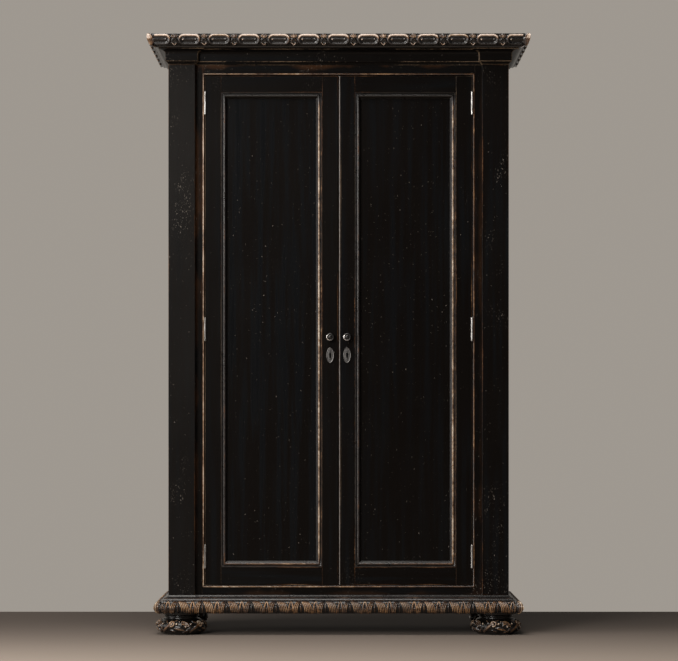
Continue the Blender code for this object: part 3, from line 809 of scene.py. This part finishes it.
def crown_relief(along, girth, corner):
    """Height and wear; along and girth in metres, corner is the distance from the mitre."""
    s = (along + CROWN_UNIT / 2) % CROWN_UNIT - CROWN_UNIT / 2
    t = girth - 0.0425
    gap = CROWN_UNIT / 2 - np.abs(s)
    outside = oval(s, t, 0.0300, 0.0105)
    strap = ridge(outside - 0.0066, 0.0054) - 0.16 * ridge(outside - 0.0100, 0.0010)
    lip = 0.50 * ridge(outside - 0.0002, 0.0013)
    boss = 0.58 * np.sqrt(np.clip(-(outside + 0.0028) / 0.0072, 0, 1))
    line = 0.18 * ridge(outside + 0.0048, 0.0008)
    curls = 0.98 * dome(np.abs(s) - 0.0232, t - 0.0005, 0.0036)
    knot = 0.98 * ring(gap - 0.0060, t - 0.0125, 0.0036, 0.0022)
    bead = 1.05 * dome(gap, t - 0.0085, 0.0038)
    tuft = 0.90 * leaf(gap, t - 0.0185, 0.0045, 0.0060)
    spray = 0.90 * leaf(*turned_by(gap - 0.0058, t + 0.0010, 38), 0.0032, 0.0090)
    pendant = 1.20 * leaf(*turned_by(gap - 0.0040, t + 0.0165, -42), 0.0030, 0.0078)
    drop = 1.10 * dome(gap, t + 0.0205, 0.0026)
    foot_line = 0.35 * ridge(t + 0.0300, 0.0030)
    top = 0.50 * ridge(t - 0.0225, 0.0020)
    between = (knot, bead, tuft, spray, pendant, drop)
    cut = highest(strap, lip, boss - line, curls, *between, foot_line, top)
    ribs = 0.9 + 0.1 * np.cos((corner + 0.35 * np.abs(t)) * math.tau / 0.0064)
    corner_leaf = leaf(corner, t - 0.002, 0.0250, 0.0300) ** 0.5 * ribs
    height = np.where(corner < 0.0245, np.maximum(corner_leaf, cut * (corner > 0.019)), cut)
    # upper straps: rubbed more and a painted highlight from above; lit_end: a painted highlight on
    # the left curls
    upper = np.interp(t, (-0.014, 0.000, 0.012), (0.46, 0.62, 1.22))
    lit_end = np.where(s < 0, 1.25, 0.7)
    wear_and_painted_highlight = highest(strap * upper, lip * upper, 0.5 * boss, curls * lit_end, knot, bead, tuft,
                   0.8 * spray, 1.1 * pendant, 1.1 * drop, top)
    wear_and_painted_highlight = np.where(corner < 0.0245, 1.45 * corner_leaf * np.clip(upper, 0.75, 1.0), wear_and_painted_highlight)
    return height, wear_and_painted_highlight


# %% [markdown]
# ## Dense runs that can be carved
#
# The crown and the base are made the same way: one section with an outer line to carve and a plain
# inner side, run from mitre to mitre across the front and from mitre to back along each side. The
# runs meet at 45 degrees, so a vertex near the mitre also moves sideways by the same amount as
# it moves out, and the carving on the two pieces closes up.


# %% Carving a run
MITRE_REACH = 0.012


def on_section(line, out, up):
    """Where points sit on a line of (out, height) points.

    Gives the nearest point of the line to each, its distance along the line, the line's normal
    there, and whether the point is really on the line.
    """
    steps = np.linalg.norm(np.diff(line, axis=0), axis=1)
    girth = np.concatenate([[0], np.cumsum(steps)])
    tangent = np.gradient(line, axis=0)
    tangent /= np.linalg.norm(tangent, axis=1)[:, None]
    normal = np.stack([tangent[:, 1], -tangent[:, 0]], axis=1)
    distance = np.hypot(out[:, None] - line[:, 0], up[:, None] - line[:, 1])
    nearest = distance.argmin(axis=1)
    on_line = distance[np.arange(len(out)), nearest] < 1e-4
    return nearest, girth[nearest], normal[nearest], on_line


def carved_run(name, line, inner, side, relief, ground, depth, spacing, material):
    """A carved moulding on the front, left or right; relief gives height, and wear with any painted
    highlight.
    """
    section = [tuple(point) for point in line] + inner
    bm = bmesh.new()
    if side == "front":
        stations = [
            [(sign * (CASE_HALF + out), y_at(out), z) for out, z in section] for sign in (-1, 1)
        ]
    else:
        stations = [
            [(SIGN[side] * (CASE_HALF + out), y, z) for out, z, y in placed]
            for placed in (
                [(out, z, y_at(out) + GAP) for out, z in section],
                [(out, z, BACK) for out, z in section],
            )
        ]
    long_edges = run(bm, stations, closed=True)
    length = max(edge.calc_length() for edge in long_edges)
    cuts = round(length / spacing)
    bmesh.ops.subdivide_edges(bm, edges=long_edges, cuts=cuts, use_grid_fill=True)
    fill_ends(bm)
    obj = to_object(name, bm, material, smooth_angle=60)

    points = coordinates(obj)
    x, y, z = points.T
    front = side == "front"
    out = FRONT - y if front else np.abs(x) - CASE_HALF
    nearest, girth, normal, on_line = on_section(line, out, z)
    along = x if front else SIGN[side] * (CASE_HALF + FRONT - y)
    corner = CASE_HALF + out - np.abs(along)
    height, wear_and_painted_highlight = relief(along, girth, corner)
    fade = np.minimum(1, np.minimum(nearest, len(line) - 1 - nearest) / 2) * on_line
    move = (ground + depth * height) * fade
    step_out, step_up = move * normal[:, 0], move * normal[:, 1]
    at_mitre = np.clip(1 - corner / MITRE_REACH, 0, 1)
    if front:
        points[:, 1] -= step_out
        points[:, 0] += np.sign(x) * step_out * at_mitre
    else:
        points[:, 0] += np.sign(x) * step_out
        points[:, 1] -= step_out * at_mitre
    points[:, 2] += step_up
    move_points(obj, points)
    mark_crest(obj, wear_and_painted_highlight * fade)
    return obj


CROWN_LINE = smooth_line(
    [(0.0400, 2.1331), (0.0617, 2.1395), (0.0680, 2.1500), (0.0722, 2.1620), (0.0722, 2.1735),
     (0.0680, 2.1800)],
    0.0014,
)
CROWN_FINISH = carved("crown_finish", rub=1.20, warm=0.75, pale=rgba(0.62, 0.50, 0.42))
for side in ("front", "left", "right"):
    reach = -0.040 if side == "front" else -0.0215
    inner = [(reach, 2.1800), (reach, 2.1331)]
    crown = carved_run(
        f"crown_carving_{side}", CROWN_LINE, inner, side, crown_relief,
        CROWN_GROUND, CROWN_DEPTH, 0.0016, CROWN_FINISH,
    )
    fit(crown, f"crown_band_{side}")
    print(crown.name, len(crown.data.polygons), "faces")

# %% [markdown]
# ## The base's cap
#
# The cap is the plain part of the base: a sloping top, a bead, a hollow and a fillet over the
# carved torus. It steps forward under each pilaster with a small mitred return, so its section has
# three stations on each half of the front.

# %% Base cap
CAP = [
    (-0.0190, 0.1431), (0.0000, 0.1431), (0.0010, 0.1426), (0.0034, 0.1400), (0.0064, 0.1374),
    (0.0100, 0.1352), (0.0136, 0.1340), (0.0146, 0.1336), (0.0148, 0.1326), (0.0146, 0.1318),
    (0.0156, 0.1312), (0.0162, 0.1292), (0.0176, 0.1272), (0.0202, 0.1256), (0.0232, 0.1250),
    (0.0236, 0.1246), (0.0236, 0.1238),
    (-0.0190, 0.1238),
]
BREAK = 0.020
CAP_FINISH = carved("cap_finish", rub=0.50, warm=0.4, shift=5.0)


def cap_stations(side):
    if side != "front":
        mitred = [(SIGN[side] * (CASE_HALF + out), y_at(out) + GAP, z) for out, z in CAP]
        return [mitred, [(x, BACK, z) for x, _, z in mitred]]
    half = [
        [(CASE_HALF + out, out, z) for out, z in CAP],
        [(PILASTER_INNER - out, out, z) for out, z in CAP],
        [(PILASTER_INNER - out, out - BREAK, z) for out, z in CAP],
    ]
    left = [[(-x, y_at(out), z) for x, out, z in station] for station in half]
    right = [[(x, y_at(out), z) for x, out, z in station] for station in half[::-1]]
    return left + right


for side in ("front", "left", "right"):
    bm = bmesh.new()
    run(bm, cap_stations(side), closed=True)
    fill_ends(bm)
    cap = to_object(f"base_cap_{side}", bm, CAP_FINISH, smooth_angle=30)
    z = coordinates(cap)[:, 2]
    mark_crest(cap, 0.45 + 0.5 * ridge(z - 0.1327, 0.0012) + 0.45 * ridge(z - 0.1246, 0.0010))
    fit(cap, f"base_moulding_{side}")
print("base caps run, with a", 1000 * BREAK, "mm step at each pilaster")

# %% [markdown]
# ## The base's torus
#
# The torus under the cap is carved with running leaves: a fan of five curved ribs, a pointed arch
# with a drop inside it, then a fan of three that leans back to the next one. The ribs stand close
# together, with beads where they part. It is at the height of a broom and is rubbed the most.

# %% Base relief
BASE_UNIT = 0.08927
BASE_HALF_GIRTH = 0.0342
BASE_GROUND = -0.0036
BASE_DEPTH = 0.0056


def base_relief(along, girth, corner):
    """Running leaves; along and girth in metres, corner is the distance from the mitre."""
    q = (along + 15 * BASE_UNIT / 2) % BASE_UNIT
    v = girth - BASE_HALF_GIRTH
    t = v / BASE_HALF_GIRTH
    strokes = []
    for i, start in enumerate((0.0010, 0.0070, 0.0130, 0.0190, 0.0250)):
        line = start + 0.0100 * (1 - (t + 0.15) ** 2) - 0.0050 * t
        taper = np.clip(1.50 - np.abs(t - 0.24 + 0.08 * i) * 1.15, 0, 1)
        strokes.append(ridge(q - line, 0.0028) * np.sqrt(taper))
    for i, start in enumerate((0.0690, 0.0750, 0.0810)):
        line = start - 0.0075 * (1 - (t + 0.2) ** 2) + 0.0045 * t
        taper = np.clip(1.40 - np.abs(t - 0.15 + 0.15 * i) * 1.15, 0, 1)
        strokes.append(0.98 * ridge(q - line, 0.0027) * np.sqrt(taper))
    arch = q - 0.0510
    for grow, wide in ((0.0130, 0.0024), (0.0078, 0.0020)):
        reach = grow * np.clip(1 - ((t + 0.85) / 1.65), 0, 1) ** 0.55
        strokes.append(0.98 * ridge(np.abs(arch) - reach, wide) * (t > -0.9) * (t < 0.80))
    cut = highest(
        *strokes,
        leaf(arch, v + 0.0130, 0.0040, 0.0140),
        1.1 * dome(q - 0.0380, v - 0.0190, 0.0040),
        1.1 * dome(arch, v - 0.0230, 0.0034),
        dome(q - 0.0680, v + 0.0160, 0.0032),
        0.95 * leaf(q - 0.0865, v + 0.0020, 0.0026, 0.0260),
        0.40 * ridge(v + 0.0290, 0.0030),
        0.50 * ridge(v - 0.0300, 0.0026),
    )
    ribs = 0.84 + 0.16 * np.cos((corner + 0.25 * np.abs(v)) * math.tau / 0.0070)
    corner_leaf = leaf(corner, v - 0.002, 0.0240, 0.0340) ** 0.55 * ribs
    corner_leaf = np.maximum(corner_leaf, dome(corner, v - 0.0190, 0.0050))
    height = np.where(corner < 0.0235, corner_leaf, cut)
    return height, height * np.where(corner < 0.0235, 1.35, 1.0)


angles = np.radians(np.linspace(-90, 88, 54))
TORUS_LINE = np.stack([0.0275 + 0.022 * np.cos(angles), 0.1004 + 0.022 * np.sin(angles)], axis=1)
TORUS_FINISH = carved(
    "torus_finish", rub=1.20, warm=1.35, shift=7.0, uneven=0.78, pale=rgba(0.46, 0.33, 0.21)
)
for side in ("front", "left", "right"):
    inner = [(-0.060, 0.1224), (-0.060, 0.0784)]
    torus = carved_run(
        f"base_carving_{side}", TORUS_LINE, inner, side, base_relief,
        BASE_GROUND, BASE_DEPTH, 0.0015, TORUS_FINISH,
    )
    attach(torus, "carcase")
    print(torus.name, len(torus.data.polygons), "faces")

# %% [markdown]
# ## Bun feet
#
# Each foot is turned: a flattened bun under a hollowed neck with a thin ring. The bun is then
# carved five times round with a scroll: a ribbed body rises to a curl with a bead for its eye. A
# leaf sweeps away from it to a few arcs of scales, and fronds and beads fill the spaces.

# %% Bun feet
FOOT_UNITS = 5
CARVED_RADIUS = 0.080  # turns angles into metres along the carving
BUN_MIDDLE, BUN_STRETCH = 0.053, 1.22
FOOT_GROUND, FOOT_DEPTH = -0.0036, 0.0062
BUN_LINE = smooth_line(
    [(0.0580, 0.0000), (0.0740, 0.0045), (0.0850, 0.0135), (0.0915, 0.0275), (0.0890, 0.0400),
     (0.0790, 0.0500), (0.0665, 0.0560)],
    0.0016,
)
NECK = [
    (0.0640, 0.0564), (0.0612, 0.0572), (0.0598, 0.0590), (0.0594, 0.0612), (0.0602, 0.0634),
    (0.0618, 0.0642), (0.0634, 0.0650), (0.0638, 0.0662), (0.0632, 0.0674), (0.0618, 0.0682),
    (0.0622, 0.0696), (0.0642, 0.0712), (0.0672, 0.0722), (0.0680, 0.0732), (0.0680, 0.0781),
]


FRONDS = [
    (0.0020, 0.0190, -60), (-0.0330, 0.0140, 50), (0.0420, -0.0150, -25),
    (0.0500, -0.0080, -10), (-0.0080, -0.0170, 70), (0.0330, -0.0190, -60),
]
FOOT_BEADS = [
    (0.0050, 0.0060, 0.0046), (-0.0480, 0.0060, 0.0042), (0.0340, -0.0030, 0.0036),
    (0.0140, 0.0140, 0.0026),
]


def carved_band(girth):
    """1 on the part of the bun that is carved, fading to 0 at its foot and its neck."""
    return np.clip((girth - 0.012) / 0.008, 0, 1) * np.clip((0.086 - girth) / 0.008, 0, 1)


def foot_relief(angle, girth):
    unit = math.tau / FOOT_UNITS
    s = ((angle % unit) - unit / 2) * CARVED_RADIUS
    v = (girth - BUN_MIDDLE) / BUN_STRETCH
    curl = ring(s + 0.0120, v - 0.0065, 0.0085, 0.0034) * ((s + 0.0120 > -0.004) | (v > 0.0065))
    eye = dome(s + 0.0120, v - 0.0050, 0.0040)
    rise = v + 0.0180 - 0.80 * (s + 0.0460)
    body = ridge(rise, 0.0075) * (s < -0.010) * (s > -0.049)
    body = body * (0.84 + 0.16 * np.cos(rise * math.tau / 0.0040))
    sweep = leaf(*turned_by(s - 0.0150, v + 0.0110, 78), 0.0080, 0.0200)
    arcs = [
        0.9 * ring(s - 0.0270, v + 0.0030, far, 0.0021) * (v > -0.004) * (s > 0.020)
        for far in (0.0080, 0.0130, 0.0180)
    ]
    fronds = [
        0.9 * leaf(*turned_by(s - x, v - y, turn), 0.0036, 0.0110) for x, y, turn in FRONDS
    ]
    beads = [1.1 * dome(s - x, v - y, radius) for x, y, radius in FOOT_BEADS]
    lower = 0.4 * ridge(v + 0.0290, 0.0030)
    cut = highest(0.98 * curl, eye, 0.95 * body, 0.95 * sweep, *arcs, *fronds, *beads, lower)
    return cut * carved_band(girth)


FOOT_FINISH = carved("foot_finish", rub=1.6, warm=1.4, shift=9.0, uneven=0.75)


def foot(node, turn):
    low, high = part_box(node)
    centre = (low + high) / 2
    share = (high.x - low.x) / 0.184
    line = BUN_LINE * (share, 1.0)
    profile = [(0.0, 0.0)] + [tuple(point) for point in line]
    profile += [(r * share, z) for r, z in NECK] + [(0.0, 0.0781)]
    bm = bmesh.new()
    edges = chain(bm, [(centre.x + r, centre.y, z) for r, z in profile])
    bmesh.ops.spin(
        bm, geom=bm.verts[:] + edges, cent=(centre.x, centre.y, 0), axis=(0, 0, 1),
        angle=math.tau, steps=300, use_merge=True,
    )
    bmesh.ops.remove_doubles(bm, verts=bm.verts, dist=1e-6)
    obj = to_object(node + "_carved", bm, FOOT_FINISH, smooth_angle=50)
    points = coordinates(obj)
    from_axis = points[:, :2] - (centre.x, centre.y)
    radius, angle = np.hypot(*from_axis.T), np.arctan2(from_axis[:, 1], from_axis[:, 0])
    _, girth, normal, on_bun = on_section(line, radius, points[:, 2])
    height = foot_relief(angle + turn, girth) * on_bun
    move = FOOT_GROUND * carved_band(girth) * on_bun + FOOT_DEPTH * height
    outward = from_axis / np.maximum(radius, 1e-6)[:, None]
    points[:, :2] += outward * (move * normal[:, 0])[:, None]
    points[:, 2] = np.maximum(points[:, 2] + move * normal[:, 1], 0.0)
    move_points(obj, points)
    mark_crest(obj, height**1.2)
    return fit(obj, node)


for node, turn in (
    ("foot_front_left", 1.15), ("foot_front_right", 0.95), ("foot_rear_left", 0.6),
    ("foot_rear_right", 0.1),
):
    print(node, len(foot(node, turn).data.polygons), "faces")

# %% [markdown]
# ## Knobs
#
# The knobs are turned pewter: a flared rose, a waisted stem and a dished head with a raised rim and
# a small dome in the middle. The outline is drawn once and spun about the knob's axis.

# %% Knobs
KNOB = [(0.0, 0.0), (0.0105, 0.0), (0.0106, 0.0014), (0.0098, 0.0024)]
KNOB += [tuple(p) for p in smooth_line(
    [(0.0090, 0.0027), (0.0066, 0.0048), (0.0058, 0.0080), (0.0068, 0.0112), (0.0118, 0.0142),
     (0.0140, 0.0166), (0.0144, 0.0190), (0.0138, 0.0212), (0.0124, 0.0226), (0.0106, 0.0228),
     (0.0094, 0.0216), (0.0086, 0.0206), (0.0079, 0.0212)], 0.0007)]
KNOB += [tuple(p) for p in smooth_line(
    [(0.0074, 0.0212), (0.0070, 0.0228), (0.0055, 0.0245), (0.0032, 0.0255), (0.0001, 0.0258)],
    0.0007)]


def seat(node):
    """Middle of the back of a piece of hardware, where it sits on the door."""
    low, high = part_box(node)
    return Vector(((low.x + high.x) / 2, high.y, (low.z + high.z) / 2))


def spun(name, outline, centre, material, steps=56):
    """Spins (radius, out) points about a line through centre that points to the front."""
    bm = bmesh.new()
    edges = chain(bm, [(centre.x + r, centre.y - out, centre.z) for r, out in outline])
    bmesh.ops.spin(
        bm, geom=bm.verts[:] + edges, cent=centre, axis=(0, 1, 0), angle=math.tau, steps=steps,
        use_merge=True,
    )
    bmesh.ops.remove_doubles(bm, verts=bm.verts, dist=2e-5)
    return to_object(name, bm, material, smooth_angle=42)


for side in ("left", "right"):
    centre = seat(f"{side}_knob")
    knob = spun(f"{side}_knob_turned", KNOB, centre, POLISHED)
    points = coordinates(knob)
    out = centre.y - points[:, 1]
    radius = np.hypot(points[:, 0] - centre.x, points[:, 2] - centre.z)
    rim = ridge(radius - 0.0124, 0.0036) * (out > 0.015)
    # the left side and the lower part of the rim are made paler, a painted highlight from the light
    # on the left
    rim *= np.interp(points[:, 0] - centre.x, (-0.012, 0.012), (1.25, 0.30))
    rim *= np.interp(points[:, 2] - centre.z, (0.003, 0.012), (1.0, 0.25))
    mark_crest(knob, np.maximum(rim, 0.25 * (radius < 0.004) * (out > 0.022)))
    fit(knob, f"{side}_knob")
print("knob", f"{2000 * max(r for r, _ in KNOB):.0f} mm across")

# %% [markdown]
# ## Keyhole plates
#
# A tall oval plate with a raised rim round its edge and a second rim round the keyhole. It is made
# of loops, each one a circle pushed to its outline: the oval for the outer ones, and for the inner
# ones the keyhole, a round with a slot below it. Bridging the loops in order makes the plate, and
# the innermost loop goes down into the hole, whose `crest` is below nought so that its walls are
# painted black as shade.


# %% Keyhole plates
def keyhole_reach(angle, grow):
    """Distance from the middle of the keyhole to its edge, in a direction."""
    c, s = math.cos(angle), math.sin(angle)
    rise, radius = 0.0040, 0.0034 + grow
    round_part = rise * s + math.sqrt(max(0.0, radius**2 - (rise * c) ** 2)) if s > 0 else 0.0
    half, foot_depth = 0.0021 + grow, 0.0080 + grow
    end = foot_depth / max(-s, 1e-6) if s < 0 else rise / max(s, 1e-6)
    return max(round_part, min(half / max(abs(c), 1e-6), end))


def plate_loop(bm, centre, out, reach):
    """A loop of a plate: a circle whose points are pushed out to the given reach."""
    verts = bmesh.ops.create_circle(bm, segments=72, radius=1.0)["verts"]
    for vert in verts:
        angle = math.atan2(vert.co.y, vert.co.x)
        far = reach(angle)
        across, up = far * math.cos(angle), far * math.sin(angle)
        vert.co = (centre.x + across, centre.y - out, centre.z + up)
    return list({edge for vert in verts for edge in vert.link_edges})


def plate_oval(inset):
    """An oval that comes to a soft point at its top and bottom."""
    a, b = 0.0140 - inset, 0.0287 - inset * 1.25

    def reach(angle):
        c, s = abs(math.cos(angle)), abs(math.sin(angle))
        return ((c / a) ** 1.82 + (s / b) ** 1.82) ** (-1 / 1.82)

    return reach


PLATE = [
    (0.0000, plate_oval(0.0)), (0.0012, plate_oval(0.0)), (0.0020, plate_oval(0.0003)),
    (0.0024, plate_oval(0.0010)), (0.0023, plate_oval(0.0018)), (0.0018, plate_oval(0.0026)),
    (0.0017, plate_oval(0.0034)), (0.0019, plate_oval(0.0050)), (0.0020, plate_oval(0.0064)),
    (0.0020, lambda a: keyhole_reach(a, 0.0010)), (0.0019, lambda a: keyhole_reach(a, 0.0003)),
    (0.0014, lambda a: keyhole_reach(a, 0.0)), (-0.0040, lambda a: keyhole_reach(a, 0.0)),
]
for side in ("left", "right"):
    centre = seat(f"{side}_escutcheon")
    bm = bmesh.new()
    loops = [plate_loop(bm, centre, out, reach) for out, reach in PLATE]
    for outer, inside in zip(loops, loops[1:]):
        bmesh.ops.bridge_loops(bm, edges=outer + inside)
    plate = to_object(f"{side}_keyhole_plate", bm, PEWTER, smooth_angle=50)
    x, y, z = coordinates(plate).T
    out = centre.y - y
    # the walls of the keyhole are painted black, as painted shade
    in_hole = (out < 0.0019) & (np.abs(x - centre.x) < 0.0045) & (np.abs(z - centre.z) < 0.0100)
    mark_crest(plate, np.where(in_hole, -1.0, 0.35 + (out - 0.0016) / 0.0020))
    fit(plate, f"{side}_escutcheon")
print("keyhole plates bridged from", len(PLATE), "loops")

# %% [markdown]
# ## Floor
#
# A plain pale floor that darkens towards the armoire, where the piece stands in its own shade. It
# ends a little behind the back, where a wall would be.

# %% Floor
FLOOR_HALF = 15.0
FLOOR_BEHIND = 0.54
floor_finish = Finish("pale_floor")
cloud = floor_finish.noise((1.2, 1.2, 1.2), 3.0)
away = floor_finish.step(floor_finish.axis(floor_finish.place, 1), BACK + 0.2, FRONT - 2.0)
open_floor = floor_finish.mix(cloud, rgba(0.500, 0.415, 0.347), rgba(0.540, 0.455, 0.382))
floor_colour = floor_finish.mix(away, rgba(0.085, 0.065, 0.052), open_floor)
floor_finish.surface(floor_colour, 0.7 + cloud * 0.1)
bm = bmesh.new()
bmesh.ops.create_grid(bm, x_segments=1, y_segments=1, size=FLOOR_HALF)
bmesh.ops.translate(bm, verts=bm.verts, vec=(0, BACK + FLOOR_BEHIND - FLOOR_HALF, 0))
to_object("floor", bm, floor_finish.material)
print("floor", 2 * FLOOR_HALF, "m square, to", FLOOR_BEHIND, "m behind the back")

# %% [markdown]
# ## Lights and background
#
# Four soft lights: a large one high on the left, a tall one far to the left that picks out the
# edges that face it, a weak one on the right and one overhead that catches the ledges of the crown
# and the base. The background is a plain warm grey. The camera sees it, and so do shiny surfaces
# that look back past the armoire, as if a wall stood there, brighter on the left. Nothing else sees
# it, so it does not wash out the black paint.


# %% Lights and background
def area_light(name, place, target, size, power, colour=(1.0, 1.0, 1.0)):
    lamp = bpy.data.lights.new(name, "AREA")
    lamp.shape = "RECTANGLE"
    lamp.size, lamp.size_y = size
    lamp.energy = power
    lamp.color = colour
    obj = bpy.data.objects.new(name, lamp)
    obj.location = place
    obj.rotation_euler = (Vector(target) - Vector(place)).to_track_quat("-Z", "Y").to_euler()
    bpy.context.scene.collection.objects.link(obj)


area_light("soft_key", (-3.7, -6.8, 3.3), (0, 0, 1.2), (2.2, 2.8), 310, (1.0, 0.97, 0.93))
area_light("side_window", (-4.4, -1.5, 1.2), (0, -0.25, 1.1), (1.6, 3.0), 80, (1.0, 0.96, 0.93))
area_light("soft_fill", (4.5, -6.0, 2.0), (0, 0, 1.0), (3.0, 3.0), 6, (0.93, 0.97, 1.0))
area_light("overhead", (-0.8, -1.6, 5.2), (0, -0.3, 1.0), (3.4, 2.0), 180, (1.0, 0.95, 0.90))

world = bpy.data.worlds.new("studio")
bpy.context.scene.world = world
world.use_nodes = True
sky = Graph(world.node_tree)
toward = sky.node("ShaderNodeTexCoord", out="Generated")
ahead = {"Value": sky.axis(toward, 1), "From Min": 0.2, "From Max": 0.7}
aside = {"Value": sky.axis(toward, 0), "From Min": -0.18, "From Max": 0.18}
wall = sky.node("ShaderNodeMapRange", {}, ahead)
wall = wall * sky.node("ShaderNodeMapRange", {}, {**aside, "To Min": 1.3, "To Max": 0.35})
mirrored = wall * sky.node("ShaderNodeLightPath", out="Is Glossy Ray")
shown = sky.node("ShaderNodeLightPath", out="Is Camera Ray").most(mirrored)
backdrop = sky.node("ShaderNodeBackground", {}, {"Color": rgba(0.345, 0.315, 0.280)})
air = {"Color": rgba(1.0, 0.97, 0.94), "Strength": 0.025}
ambient = sky.node("ShaderNodeBackground", {}, air)
chosen = sky.node("ShaderNodeMixShader", {}, {0: shown, 1: ambient, 2: backdrop})
sky.plug(chosen, sky.tree.nodes["World Output"].inputs["Surface"])
bpy.context.scene.view_settings.view_transform = "Standard"
print("lights:", [lamp.name for lamp in bpy.data.lights])

# %% [markdown]
# ## Camera
#
# A long lens far back, level and a little over waist height. It is shifted, not tilted, so that the
# uprights stay upright.

# %% Camera
camera = bpy.data.objects.new("camera", bpy.data.cameras.new("camera"))
camera.data.sensor_width = 36.0
camera.data.lens = 135.7
camera.data.shift_x = 0.0006
camera.data.shift_y = 0.1276
camera.location = (0.0, FRONT - 9.31, 0.792)
camera.rotation_euler = (math.pi / 2, 0, 0)
bpy.context.scene.collection.objects.link(camera)
bpy.context.scene.camera = camera
print("camera", [round(c, 2) for c in camera.location])
